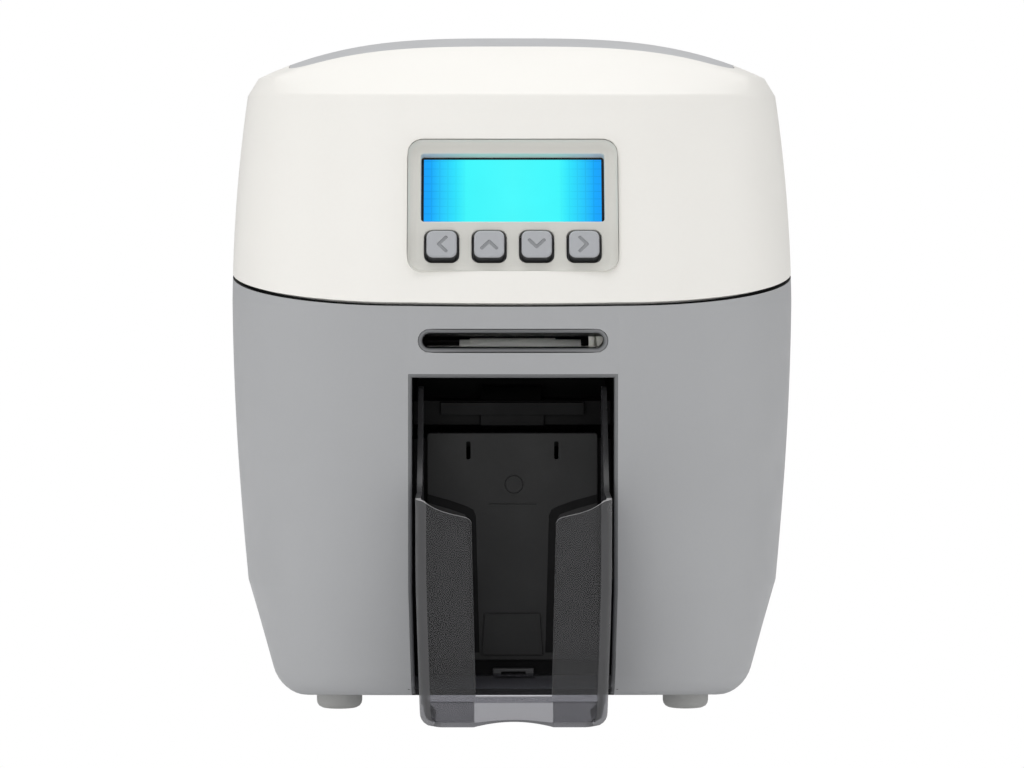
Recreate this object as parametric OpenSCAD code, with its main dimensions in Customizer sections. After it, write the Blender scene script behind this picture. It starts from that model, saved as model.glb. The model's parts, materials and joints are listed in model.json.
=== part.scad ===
// Desktop card printer with a hinged lid, a smoke card stacker and a hopper.
// Millimetres. +X right, +Y to the rear, +Z up. The origin is the middle of
// the footprint, on the surface that the feet stand on.

/* [Casing] */
// Width of the casing at its widest level
case_w = 220; // [214:1:236]
// Depth of the casing, without the stacker
case_l = 408; // [396:1:430]
// Height of the top of the lid above the table
case_h = 261; // [256:1:270]
// Thickness of the casing walls
wall = 2.5; // [2:0.1:3]
// Height of the rubber feet
foot_h = 8; // [6:0.5:10]
// Diameter of each rubber foot
foot_d = 17.6; // [14:0.2:20]
// Distance of the feet from the middle plane
foot_x = 67; // [62:1:70]
// Rounding of the lower edge of the casing
edge_r = 9; // [7:0.5:10]
// Plan radius of the front corners
corner_r = 70; // [64:1:76]
// Plan radius of the rear corners
rear_corner_r = 30; // [30:1:36]
// How far the middle of the front bows forward
front_bow = 2; // [1.5:0.1:2.5]
// Height of the widest level
belly_z = 165; // [158:1:172]
// Height of the crease where the lower sides turn in
break_z = 48; // [42:1:56]
// How far each side has turned in at that crease
break_in = 6.5; // [5:0.5:8]
// How far each side has turned in at the underside
base_in = 19.9; // [17:0.1:20]

/* [Lid] */
// Height of the crease between the lid's front and its top
crease_z = 237; // [234:1:240]
// How far each side has turned in at that crease
crease_in = 5.9; // [5:0.1:7]
// How far the lid's front leans back from the seam to the crease
lean_back = 34; // [30:1:36]
// Height of the seam between body and lid, at the front
seam_z = 157; // [155:0.5:159]
// Rise of the seam towards the rear, in degrees
seam_tilt = 7.5; // [7:0.1:8]
// Width of the seam
seam_gap = 0.9; // [0.7:0.1:1.1]
// Radius of the rounded skirt around the hinge axis
skirt_r = 13; // [12.5:0.1:13.5]
// How far the lid opens, in degrees
lid_open = 70; // [60:1:70]
// Diameter of each hinge pin
hinge_pin_d = 6; // [5:0.5:7]
// Width of the inlay on the lid's top
inlay_w = 176; // [160:1:178]
// Length of that inlay
inlay_l = 250; // [220:1:260]
// Thickness of that inlay
inlay_t = 1.2; // [1:0.1:1.4]

/* [Console] */
// Width of the recess for the console
console_w = 80.6; // [79:0.1:82]
// Height of that recess along the lid's front
console_h = 54.6; // [53:0.1:56]
// Corner radius of that recess
console_r = 6; // [4:0.5:7]
// How deep the console lies below the lid's front
console_deep = 2.5; // [2.4:0.1:3]
// Distance of the console's middle from the seam, along the front
console_up = 41; // [40.5:0.1:41.5]
// Width of the display window
lcd_w = 70; // [68:0.5:71]
// Height of the display window
lcd_h = 28; // [26:0.5:28]
// Distance of the display's middle from the seam
lcd_up = 49.1; // [48.8:0.1:49.4]
// Width of a key
key_w = 11.4; // [10:0.2:11.8]
// Distance between the middles of two keys
key_pitch = 18.05; // [17.5:0.05:18.2]
// Distance of the keys' middles from the seam
key_up = 24.8; // [24.4:0.1:25]
// Space around a key in its hole
key_gap = 0.95; // [0.6:0.05:1]
// How far a key stands out of the console
key_proud = 2.4; // [1.8:0.1:2.4]
// Travel of a key
key_travel = 1.2; // [0.8:0.1:1.4]

/* [Front openings] */
// Clear width of the stacker bay
bay_w = 76.6; // [76:0.1:78]
// Height of the bay's top edge
bay_top = 129.4; // [128:0.1:130]
// How far each side of the bay turns in below the crease
bay_taper = 1.4; // [0.6:0.1:1.6]
// Clear width of the hand feed slot
slot_w = 68.7; // [66:0.1:70]
// Clear height of the hand feed slot
slot_h = 5.8; // [5.2:0.1:6.4]
// Height of the card path above the table
path_z = 143.2; // [142.6:0.1:144]

/* [Stacker and hopper] */
// How far the stacker stands out in front of the casing
tray_reach = 42; // [38:1:46]
// Width of the stacker
tray_w = 72.9; // [72:0.1:73.6]
// Wall of the stacker
tray_wall = 2.2; // [1.8:0.1:2.4]
// Length of the stacker
tray_l = 85; // [82:1:86]
// Height of the stacker's wings at their outer edge
wing_z = 85.4; // [80:0.2:90]
// Width of the finger gap between the wings, at its top
finger_gap = 31.8; // [28:0.2:34]
// How far the stacker slides out
tray_travel = 40; // [30:1:40]
// Width of a card
card_w = 54; // [53.9:0.1:54.1]
// Length of a card
card_l = 85.6; // [85.4:0.1:85.7]
// Width of the hopper door
door_w = 66.4; // [64:0.2:66.8]
// Height of the hopper door's top edge
door_top = 106.6; // [104:0.2:107]
// Travel of the card lift
lift_travel = 72; // [60:1:74]

/* [Mechanism] */
// Thickness of the steel side frames
frame_t = 1.5; // [1.2:0.1:2]
// Distance of each side frame's inner face from the middle plane
frame_x = 41; // [40.8:0.1:42]
// Diameter of the feed rollers
roller_d = 12; // [11:0.2:12.4]
// Diameter of the roller shafts
shaft_d = 6; // [5:0.5:6]
// Diameter of the pinch rollers
pinch_d = 10; // [9:0.2:10.4]
// Running clearance of a shaft in its hole
run_fit = 0.05; // [0.03:0.01:0.08]
// Diameter of the full film roll
film_supply_d = 48; // [40:1:50]
// Diameter of the take up roll
film_takeup_d = 30; // [26:1:34]
// Width of the print film
film_w = 60; // [58:0.5:62]
// Width of the square drive motor
motor_w = 42.3; // [40:0.1:43]
// Diameter of the belt pulleys
pulley_d = 18; // [16:0.5:20]
// Width of the square cooling fan
fan_w = 60; // [58:1:62]
// Diameter of the fan's opening
fan_bore = 56; // [52:0.5:56]

/* [Hidden] */

// Reference planes and axes
total_l = case_l + tray_reach;
y_front = tray_reach - total_l / 2;
y_rear = total_l / 2;
half_w = case_w / 2;
base_z = foot_h;
floor_z = base_z + wall;
lean_a = atan(lean_back / (crease_z - seam_z));
bow_half = half_w - corner_r;
bow_r = (bow_half * bow_half + front_bow * front_bow) / (2 * front_bow);
crown_y = y_front + 150;
hood_y = y_front + 70;
hood_z = case_h - 5;
shoulder_z = crease_z + 7;
shoulder_in = 4.3;
arch_power = 3.2;
crown_fall = 26;
shoulder_fall = 14;
thin = 0.1;
slip = 0.3;

function seam_at(y) = seam_z + (y - y_front) * tan(seam_tilt);

skirt_step = 0.4;
hinge_y = y_rear - skirt_r - skirt_step;
hinge_z = seam_at(hinge_y) + 2.5;
skirt_end = 60;
skirt_clear = 0.6;
hinge_x = 70;

// Casing outline. t is how far inside the outer skin an outline lies.
function side_in(z) = z > belly_z
    ? crease_in * pow((z - belly_z) / (crease_z - belly_z), 2)
    : z > break_z
        ? break_in * pow((belly_z - z) / (belly_z - break_z), 2)
        : break_in + (base_in - break_in) * (break_z - z) / (break_z - base_z);
function front_in(z) = z > seam_z ? lean_back * (z - seam_z) / (crease_z - seam_z) : 0;
function edge_in(z, t) = z < base_z + edge_r
    ? (edge_r - t) - sqrt(max(0, pow(edge_r - t, 2) - pow(base_z + edge_r - z, 2)))
    : 0;
function arc(cx, cy, r, a0, a1, n) =
    [for (i = [0:n]) [cx + r * cos(a0 + (a1 - a0) * i / n), cy + r * sin(a0 + (a1 - a0) * i / n)]];
function mirrored(points) = [for (i = [len(points) - 1:-1:0]) [-points[i][0], points[i][1]]];

// Right half of the outline at height z, from the front's middle to the rear
function right_half(z, t, whole) =
    let (
        e = edge_in(z, t),
        r = corner_r - side_in(z) - t - e,
        x = bow_half,
        y = y_front + front_in(z) + front_bow + t + e + r,
        rr = max(2, rear_corner_r - side_in(z) - t - e),
        xr = half_w - side_in(z) - t - e - rr,
        yr = y_rear - t - e - rr,
        bow = [for (i = [0:2]) let (u = x * i / 3)
            [u, y - r - front_bow + bow_r - sqrt(bow_r * bow_r - u * u)]],
        front = arc(x, y, r, -90, 0, 12)
    )
    whole ? concat(bow, front, arc(xr, yr, rr, 0, 90, 7))
          : concat(bow, front, [[x + r, crown_y]]);

module level(z, t, whole = true) {
    half = right_half(z, t, whole);
    translate([0, 0, z])
        linear_extrude(thin)
            polygon(concat(half, mirrored(half)));
}

// Arched cross-section of the lid's top at depth y
function crown(y) = y < crown_y
    ? case_h - (case_h - hood_z) * pow((crown_y - y) / (crown_y - hood_y), 3)
    : case_h - crown_fall * pow((y - crown_y) / (y_rear - crown_y), 2);
function shoulder(y) = y < crown_y
    ? shoulder_z
    : shoulder_z - shoulder_fall * pow((y - crown_y) / (y_rear - crown_y), 2);
function crease_half(y, t) =
    let (
        r = corner_r - crease_in - t,
        yc = y_front + lean_back + front_bow + t + r,
        d = max(0, yc - y)
    )
    bow_half + sqrt(r * r - d * d);
function arch(y, t, n = 10) =
    let (
        x1 = crease_half(y, t) - shoulder_in,
        s = shoulder(y) - t,
        c = crown(y) - t
    )
    concat(
        [[-x1 - shoulder_in, s - 7]],
        [for (i = [-n:n]) [x1 * i / n, s + (c - s) * (1 - pow(abs(i / n), arch_power))]],
        [[x1 + shoulder_in, s - 7]]
    );

module station(y, t) {
    translate([0, y, 0])
        rotate([90, 0, 0])
            linear_extrude(thin)
                polygon(arch(y, t));
}

// Solid outline of the body, from the underside to above the seam
module low_form(t) {
    edge = edge_r - t;
    top = seam_at(y_rear) + 5;
    hull() {
        for (a = [0:22.5:90])
            level(base_z + t + edge * (1 - cos(a)), t);
        level(break_z, t);
        for (i = [1:4])
            level(break_z + (seam_z - break_z) * i / 4, t);
        level(belly_z, t);
        level((belly_z + top) / 2, t);
        level(top, t);
    }
}

// Solid outline of the lid, from below the seam to the crown
module high_form(t) {
    full_top = crease_z - 16;
    hull() {
        level(belly_z - 15, t);
        level(seam_z, t);
        level(belly_z, t);
        for (i = [1:3])
            level(belly_z + (full_top - belly_z) * i / 3, t);
        level(crease_z - 8, t, false);
        level(crease_z - t / 2, t, false);
        for (y = [hood_y, crown_y - 40, crown_y, crown_y + 50, crown_y + 100, crown_y + 150, crown_y + 195])
            station(y, t);
        translate([0, y_rear - t - 6, 0])
            level_bar(crown(y_rear) - t - 1);
        translate([0, y_rear - t, 0])
            level_bar(crown(y_rear) - t - 9);
    }
}

// Straight edge of the lid's rounded rear top
module level_bar(z) {
    w = 2 * (half_w - rear_corner_r - 4);
    translate([-w / 2, -thin, z - thin])
        cube([w, thin, thin]);
}

// Everything above the seam plane, moved by gap along Z
module above_seam(gap, y0 = -1000, y1 = 1000) {
    bar_x(-case_w, case_w)
        polygon([
            [y0, seam_at(y0) + gap], [y1, seam_at(y1) + gap],
            [y1, 2 * case_h + seam_at(y1)], [y0, 2 * case_h + seam_at(y1)]
        ]);
}

// Extrusions along X and along Y of shapes drawn in YZ and in XZ
module bar_x(x0, x1) {
    translate([x0, 0, 0])
        rotate([90, 0, 90])
            linear_extrude(x1 - x0)
                children();
}

module slab_y(y0, y1) {
    translate([0, y1, 0])
        rotate([90, 0, 0])
            linear_extrude(y1 - y0)
                children();
}

module rod_x(x0, x1, y, z, r) {
    translate([x0, y, z])
        rotate([0, 90, 0])
            cylinder(h = x1 - x0, r = r, $fn = 48);
}

module rod_y(y0, y1, x, z, r) {
    translate([x, y1, z])
        rotate([90, 0, 0])
            cylinder(h = y1 - y0, r = r, $fn = 48);
}

module box(x0, x1, y0, y1, z0, z1) {
    translate([x0, y0, z0])
        cube([x1 - x0, y1 - y0, z1 - z0]);
}

module rounded(w, h, r) {
    square([w - 2 * r, h], center = true);
    square([w, h - 2 * r], center = true);
    for (sx = [-1, 1], sy = [-1, 1])
        translate([sx * (w / 2 - r), sy * (h / 2 - r)])
            circle(r = r, $fn = 32);
}

module stadium(w, h) {
    square([w - h, h], center = true);
    for (s = [-1, 1])
        translate([s * (w - h) / 2, 0])
            circle(d = h, $fn = 48);
}

// Frame of the lid's leaning front: X right, Y inward, Z up along the face
module on_lid_front() {
    translate([0, y_front, seam_z])
        rotate([-lean_a, 0, 0])
            children();
}

/* Casing */
bay_half = bay_w / 2;
liner_gap = slip;
liner_x = bay_half + liner_gap;
liner_t = 1.5;
liner_y = y_front + wall + front_bow;
liner_back_t = 2;
card_play = 1;
roof_z = bay_top + slip;
roof_t = 0.9;
slot_z = path_z + 0.2;
rim = 1.6;
panel_side = 35;
panel_w = case_w - 2 * panel_side;
panel_z0 = 30;
panel_z1 = 150;
panel_lap = 5;
panel_t = 1.5;
panel_y = y_rear - wall - panel_t;
foot_y = 27 + foot_d / 2;
foot_y_rear = 40;
foot_places = [
    [-foot_x, y_front + foot_y], [foot_x, y_front + foot_y],
    [-foot_x, y_rear - foot_y_rear], [foot_x, y_rear - foot_y_rear]
];

module bay_outline(grow = 0) {
    polygon([
        [-bay_half + bay_taper - grow, 0], [bay_half - bay_taper + grow, 0],
        [bay_half + grow, break_z], [bay_half + grow, bay_top + grow],
        [-bay_half - grow, bay_top + grow], [-bay_half - grow, break_z]
    ]);
}

trough_t = 2;
rear_edge = 0.5;
trough_a = 125;

// The body's casing in one piece, before the front bridge is parted from it
module casing_form() {
    reach = 2 * (skirt_r + trough_t);
    difference() {
        union() {
            difference() {
                low_form(0);
                low_form(wall);
            }
            // Trough under the lid's skirt
            intersection() {
                low_form(wall / 2);
                rod_x(-case_w, case_w, hinge_y, hinge_z, skirt_r + skirt_clear + trough_t);
                bar_x(-case_w, case_w)
                    polygon([
                        [hinge_y, hinge_z], [hinge_y + reach * cos(trough_a), hinge_z - reach * sin(trough_a)],
                        [hinge_y, hinge_z - reach], [hinge_y + reach, hinge_z - reach],
                        [hinge_y + reach, hinge_z - skirt_r / 2]
                    ]);
            }
        }
        above_seam(-seam_gap / 2);
        slab_y(y_front - 2 * wall, liner_y)
            bay_outline();
        // Level floor under the bay, without the inner rounding
        box(-bay_slot, bay_slot, liner_y, y_front + front_bow + edge_r + 1, floor_z, floor_z + edge_r);
        translate([0, 0, slot_z])
            slab_y(y_front - 2 * wall, liner_y)
                stadium(slot_w + 2 * rim, slot_h + 2 * rim);
        // Room for the lid's skirt as it turns
        rod_x(-case_w, case_w, hinge_y, hinge_z, skirt_r + skirt_clear);
        box(-case_w, case_w, hinge_y + skirt_r / 2, y_rear + wall, hinge_z - skirt_r + rear_edge, case_h);
        // Opening for the rear panel
        translate([0, 0, (panel_z0 + panel_z1) / 2])
            slab_y(y_rear - 2 * wall, y_rear + wall)
                rounded(panel_w, panel_z1 - panel_z0, 4);
    }
}

// Span of the front wall over the card bay, which holds the hand feed slot
bridge_half = 44;
bridge_leg = 4;

module bridge_zone() {
    box(-bridge_half, bridge_half, y_front - wall, y_front + 3 * wall, bay_top - bridge_leg, case_h);
}

module body_shell() {
    color([0.65, 0.65, 0.66])
    difference() {
        casing_form();
        bridge_zone();
    }
}

module front_bridge() {
    color([0.65, 0.65, 0.66])
    intersection() {
        casing_form();
        bridge_zone();
    }
}

pan_front = y_front + 63;
pan_rear = y_rear - 20;
pan_half = half_w - base_in - edge_r - 4;
pan_t = 2.5;
pan_z = floor_z + pan_t;
bay_slot = liner_x + liner_t + slip;
door_t = 3;
door_y = y_front - tray_reach + tray_l + 4.5;
liner_rear = door_y + door_t / 2 + 2 * card_play + card_l + liner_back_t;

module base_pan() {
    color([0.25, 0.25, 0.26])
    difference() {
        box(-pan_half, pan_half, pan_front, pan_rear, floor_z, pan_z);
        box(-bay_slot, bay_slot, pan_front - wall, liner_rear + slip, floor_z - wall, pan_z + wall);
    }
}

module rubber_feet() {
    r = foot_d / 2;
    foot_edge = 2;
    color([0.5, 0.5, 0.5])
    for (p = foot_places)
        translate([p[0], p[1], 0])
            rotate_extrude($fn = 48)
                union() {
                    translate([0, foot_edge])
                        square([r, foot_h - foot_edge]);
                    square([r - foot_edge, foot_h]);
                    translate([r - foot_edge, foot_edge])
                        circle(r = foot_edge, $fn = 32);
                }
}

door_pin_d = 4;
door_z = floor_z + 6.5;
pick_y = liner_rear - 12;
pick_d = 16;
lift_top = door_top - 4.6;
pick_z = lift_top + 2 + pick_d / 2;

module bay_liner() {
    color([0.06, 0.06, 0.06])
    difference() {
        union() {
            for (s = [-1, 1])
                box(
                    min(s * liner_x, s * (liner_x + liner_t)), max(s * liner_x, s * (liner_x + liner_t)),
                    liner_y, liner_rear, floor_z, roof_z + roof_t
                );
            box(-liner_x, liner_x, liner_y, liner_y + 20, roof_z, roof_z + roof_t);
            // Back wall, open where the cards leave the hopper
            difference() {
                box(-liner_x, liner_x, liner_rear - liner_back_t, liner_rear, floor_z, roof_z + roof_t);
                box(-card_w / 2 - 1, card_w / 2 + 1, liner_rear - 2 * liner_back_t, liner_rear + 1,
                    lift_top - 1, lift_top + 5);
            }
        }
        rod_x(-case_w, case_w, door_y, door_z, door_pin_d / 2 + run_fit);
        rod_x(-case_w, case_w, pick_y, pick_z, shaft_d / 2 + slip);
    }
}

throat_l = 18;
bow_edge = 0.6;

module hand_feed_guide() {
    color([0.35, 0.35, 0.36])
    difference() {
        intersection() {
            union() {
                translate([0, 0, slot_z])
                    slab_y(y_front, y_front + throat_l)
                        stadium(slot_w + 2 * rim - 0.3, slot_h + 2 * rim - 0.3);
                box(-bay_half, bay_half, liner_y, y_front + throat_l, roof_z + roof_t, slot_z + slot_h);
            }
            translate([0, y_front + bow_r, 0])
                cylinder(r = bow_r - bow_edge, h = case_h, $fn = 200);
        }
        translate([0, 0, slot_z])
            slab_y(y_front - wall, y_front + throat_l + wall)
                stadium(slot_w, slot_h);
    }
}

exit_bar_w = 56.2;
exit_y = y_front + 55;
exit_z0 = door_top + 1.4;

module exit_guide() {
    bar_z0 = exit_z0 + 4.2;
    bar_z1 = bar_z0 + 4.8;
    tab_w = 25;
    color([0.12, 0.12, 0.12]) {
        box(-liner_x, liner_x, exit_y + 6, exit_y + 9, exit_z0, bar_z1 + 0.5);
        box(-exit_bar_w / 2, exit_bar_w / 2, exit_y, exit_y + 6, bar_z0, bar_z1);
        box(-tab_w / 2, tab_w / 2, exit_y + 2, exit_y + 6, exit_z0, bar_z0);
    }
}

/* Card path and its frames */
frame_out = frame_x + frame_t;
entry_y = y_front + 33;
clean_y = entry_y + 52;
platen_y = clean_y + 78;
rear_roll_y = platen_y + 78;
roller_z = path_z - roller_d / 2;
card_t = 0.8;
pinch_z = path_z + card_t + 0.2 + pinch_d / 2;
pinch_shaft_d = 4;
takeup_y = platen_y - 58;
takeup_z = path_z + 34.8;
supply_y = platen_y + 82;
supply_z = path_z + 36.8;
journal_d = 8;
frame_rear = rear_roll_y + 52;
frame_low_front = pan_front + 2;
arm_z = roof_z + roof_t + 0.5;
frame_top = pinch_z + 6.8;
tower = 14;
tower_lip = 6;
bar_d = 6;
bar_places = [[frame_rear - 10, pan_z + 16], [frame_rear - 10, path_z - 16], [liner_rear + 12, pan_z + 16]];
motor_y = platen_y + 40;
motor_z = roller_z - 62.2;
motor_l = 38;
motor_bolt = 15.5;
motor_boss_d = 22;
motor_shaft_d = 5;

module frame_plate() {
    difference() {
        polygon([
            [frame_low_front, pan_z], [frame_low_front, arm_z], [entry_y - 12, arm_z],
            [entry_y - 12, frame_top], [takeup_y - tower, frame_top],
            [takeup_y - tower, takeup_z + tower_lip], [takeup_y + tower, takeup_z + tower_lip],
            [takeup_y + tower, frame_top], [supply_y - tower, frame_top],
            [supply_y - tower, supply_z + tower_lip], [supply_y + tower, supply_z + tower_lip],
            [supply_y + tower, frame_top], [frame_rear, frame_top], [frame_rear, pan_z]
        ]);
        for (y = [entry_y, platen_y, rear_roll_y])
            translate([y, roller_z])
                circle(r = shaft_d / 2 + run_fit, $fn = 48);
        for (y = [entry_y, rear_roll_y])
            translate([y, pinch_z])
                circle(r = pinch_shaft_d / 2 + run_fit, $fn = 48);
        translate([clean_y, pinch_z])
            circle(r = pinch_shaft_d / 2 + run_fit, $fn = 48);
        translate([pick_y, pick_z])
            circle(r = shaft_d / 2 + run_fit, $fn = 48);
        // Open cradles for the two film spools
        for (p = [[takeup_y, takeup_z], [supply_y, supply_z]])
            translate(p) {
                circle(r = journal_d / 2 + run_fit, $fn = 48);
                translate([-journal_d / 2 - run_fit, 0])
                    square([journal_d + 2 * run_fit, 3 * tower]);
            }
        // Lightening window behind the hopper
        translate([liner_rear + 20, pan_z + 30])
            square([motor_y - motor_w / 2 - 10 - liner_rear - 20, motor_z - pan_z - 38]);
    }
}

module side_frame_left() {
    color([0.6, 0.62, 0.64])
    bar_x(-frame_out, -frame_x)
        frame_plate();
}

module side_frame_right() {
    color([0.6, 0.62, 0.64])
    difference() {
        bar_x(frame_x, frame_out)
            frame_plate();
        rod_x(frame_x - 1, frame_out + 1, motor_y, motor_z, motor_boss_d / 2 + run_fit);
    }
}

module tie_bars() {
    color([0.7, 0.7, 0.72])
    for (p = bar_places)
        rod_x(-frame_x, frame_x, p[0], p[1], bar_d / 2);
}

module hopper_guides() {
    inner = card_w / 2 + 0.5;
    plate = 2;
    y0 = door_y + door_t / 2 + 2.5;
    y1 = liner_rear - liner_back_t;
    color([0.1, 0.1, 0.1])
    for (s = [0, 1])
        mirror([s, 0, 0]) {
            box(inner, inner + plate, y0, y1, floor_z, lift_top + 1);
            for (y = [y0, y1 - plate])
                box(inner + plate, liner_x, y, y + plate, floor_z, lift_top + 1);
        }
}

module lower_card_guide() {
    guide_t = 1.2;
    z1 = path_z - 1;
    lead = roller_d / 2 + 2;
    color([0.15, 0.15, 0.16]) {
        box(-frame_x, frame_x, entry_y + lead, platen_y - lead, z1 - guide_t, z1);
        box(-frame_x, frame_x, platen_y + lead, rear_roll_y - lead, z1 - guide_t, z1);
    }
}

// Driven roller with its shaft, and a belt pulley where pulley is true
module driven_roller(y, z, sleeve_w, d) {
    rod_x(-frame_out + 0.1, pulley_x1, y, z, shaft_d / 2);
    rod_x(-sleeve_w / 2, sleeve_w / 2, y, z, d / 2);
    rod_x(pulley_x0, pulley_x1, y, z, pulley_d / 2);
}

module free_roller(y, z, sleeve_w, d) {
    rod_x(-frame_out + 0.1, frame_out - 0.1, y, z, pinch_shaft_d / 2);
    rod_x(-sleeve_w / 2, sleeve_w / 2, y, z, d / 2);
}

pulley_x0 = frame_out + 3.5;
pulley_x1 = pulley_x0 + 7;
motor_pulley_d = 12;
entry_sleeve_w = 41;
entry_collar_w = 5.8;

module entry_roller() {
    color([0.75, 0.75, 0.75]) {
        driven_roller(entry_y, roller_z, 33, roller_d);
        rod_x(-entry_sleeve_w / 2, entry_sleeve_w / 2 + entry_collar_w, entry_y, roller_z, roller_d / 2 - 0.6);
    }
}

// Guide for the right edge of a card behind the hand feed slot
module edge_guide() {
    x0 = card_w / 2 + 2;
    y0 = y_front + throat_l + 1;
    y1 = y0 + 5;
    z0 = path_z - 4;
    z1 = path_z + 4.3;
    color([0.75, 0.75, 0.73]) {
        box(x0, x0 + 2.2, y0, y1, z0, z1);
        box(x0 + 3, frame_x, y0, y1, z0, z1);
        box(x0, frame_x, y1 - 1.5, y1, z0, z1);
    }
}

module platen_roller() {
    color([0.15, 0.15, 0.15])
    driven_roller(platen_y, roller_z, film_w, roller_d);
}

module rear_roller() {
    color([0.15, 0.15, 0.15])
    driven_roller(rear_roll_y, roller_z, entry_sleeve_w, roller_d);
}

module cleaning_roller() {
    color([0.2, 0.35, 0.7])
    free_roller(clean_y, pinch_z, card_w + 2, pinch_d);
}

module entry_pinch_roller() {
    color([0.7, 0.7, 0.7])
    free_roller(entry_y, pinch_z, entry_sleeve_w, pinch_d);
}

module rear_pinch_roller() {
    color([0.7, 0.7, 0.7])
    free_roller(rear_roll_y, pinch_z, entry_sleeve_w, pinch_d);
}

module pick_roller() {
    color([0.2, 0.2, 0.2]) {
        rod_x(-frame_out + 0.1, frame_out + 1.5, pick_y, pick_z, shaft_d / 2);
        rod_x(-12, 12, pick_y, pick_z, pick_d / 2);
    }
}

module main_motor() {
    h = motor_w / 2;
    color([0.2, 0.2, 0.21])
    difference() {
        union() {
            box(frame_x - motor_l, frame_x, motor_y - h, motor_y + h, motor_z - h, motor_z + h);
            rod_x(frame_x, frame_out + 0.5, motor_y, motor_z, motor_boss_d / 2);
        }
        rod_x(frame_x - 1, frame_out + 2, motor_y, motor_z, motor_shaft_d / 2 + run_fit);
    }
}

module motor_pulley() {
    color([0.8, 0.75, 0.5]) {
        rod_x(frame_x - 0.9, pulley_x1 + 1, motor_y, motor_z, motor_shaft_d / 2);
        rod_x(pulley_x0, pulley_x1, motor_y, motor_z, motor_pulley_d / 2);
    }
}

belt_t = 1.2;
module belt_outline(grow) {
    hull() {
        for (y = [entry_y, rear_roll_y])
            translate([y, roller_z])
                circle(r = pulley_d / 2 + grow, $fn = 48);
        translate([motor_y, motor_z])
            circle(r = motor_pulley_d / 2 + grow, $fn = 48);
    }
}

module drive_belt() {
    color([0.08, 0.08, 0.08])
    bar_x(pulley_x0 + 0.5, pulley_x1 - 0.5)
        difference() {
            belt_outline(slip + belt_t);
            belt_outline(slip);
        }
}

small_motor_l = 26;
module film_motor() {
    color([0.7, 0.7, 0.72]) {
        rod_x(-frame_out - small_motor_l, -frame_out, takeup_y, takeup_z, 12);
        rod_x(-frame_out - small_motor_l - 3, -frame_out - small_motor_l, takeup_y, takeup_z, 4);
    }
}

module pick_motor() {
    color([0.7, 0.7, 0.72]) {
        rod_x(-frame_out - small_motor_l, -frame_out, pick_y, pick_z, 11);
        rod_x(-frame_out - small_motor_l - 3, -frame_out - small_motor_l, pick_y, pick_z, 4);
    }
}

module spool(y, z, core_d, roll_d) {
    rod_x(-frame_out + 0.1, frame_out - 0.1, y, z, journal_d / 2);
    rod_x(-frame_x + 2, frame_x - 2, y, z, core_d / 2);
    rod_x(-film_w / 2, film_w / 2, y, z, roll_d / 2);
}

module supply_spool() {
    color([0.15, 0.15, 0.3])
    spool(supply_y, supply_z, film_supply_d / 2, film_supply_d);
}

module takeup_spool() {
    color([0.15, 0.15, 0.3])
    spool(takeup_y, takeup_z, film_takeup_d / 2 + 1, film_takeup_d);
}

// Film from the supply roll, under the print head, to the take up roll
film_t = 0.2;
film_z = path_z + card_t + 0.1;
head_half = 14;
module print_film() {
    supply_r = film_supply_d / 2 + slip;
    takeup_r = film_takeup_d / 2 + slip;
    s_end = [supply_y - supply_r * cos(37), supply_z - supply_r * sin(37)];
    t_end = [takeup_y + takeup_r * cos(42), takeup_z - takeup_r * sin(42)];
    color([0.3, 0.2, 0.5, 0.8])
    bar_x(-film_w / 2, film_w / 2)
        polygon([
            s_end, [platen_y + head_half, film_z], [platen_y - head_half, film_z], t_end,
            [t_end[0], t_end[1] + film_t], [platen_y - head_half, film_z + film_t],
            [platen_y + head_half, film_z + film_t], [s_end[0], s_end[1] + film_t]
        ]);
}

/* Rear and electronics */
board_z = pan_z + 27;
board_t = 1.6;
board_half = 62;
board_y0 = frame_rear + 8;
board_y1 = panel_y - 2;
board_top = board_z + board_t;
fan_x = -38;
fan_z = panel_z0 + 75;
fan_t = 15;
inlet_x = 50;
inlet_z = board_top + 8;
inlet_d = 13;
usb_x = 18;
usb_w = 12;
usb_h = 11;
net_x = -14;
net_w = 16;
net_h = 13.5;
switch_x = 50;
switch_z = inlet_z + 42;
switch_w = 15;
switch_h = 21;
socket_l = 21;
socket_out = 1;

module main_board() {
    color([0.1, 0.35, 0.2])
    box(-board_half, board_half, board_y0, board_y1, board_z, board_top);
}

module board_standoffs() {
    color([0.8, 0.7, 0.4])
    for (x = [-1, 1] * (board_half - 6), y = [board_y0 + 6, pan_rear - 6])
        translate([x, y, pan_z])
            cylinder(h = board_z - pan_z, r = 3.5, $fn = 32);
}

board_mid = (board_y0 + board_y1) / 2;
part_gap = 4;

module board_parts() {
    color([0.12, 0.12, 0.13]) {
        box(-40, -18, board_y0 + 14, board_y0 + 36, board_top, board_top + 2);
        box(2, 16, board_y0 + 16, board_y0 + 30, board_top, board_top + 1.5);
        box(-50, -20, board_mid - part_gap, board_mid + part_gap, board_top, board_top + 9);
        for (i = [0:2])
            translate([30 + 11 * i, board_y0 + 20, board_top])
                cylinder(h = 14, r = 4.5, $fn = 32);
        box(26, 54, board_y0 + 34, board_y0 + 44, board_top, board_top + 18);
    }
}

module usb_socket() {
    color([0.75, 0.75, 0.77])
    difference() {
        box(usb_x - usb_w / 2, usb_x + usb_w / 2, panel_y + panel_t + socket_out - socket_l,
            panel_y + panel_t + socket_out, board_top, board_top + usb_h);
        box(usb_x - 4.3, usb_x + 4.3, y_rear - 14, y_rear, board_top + 1.6, board_top + usb_h - 1.6);
    }
}

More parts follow.
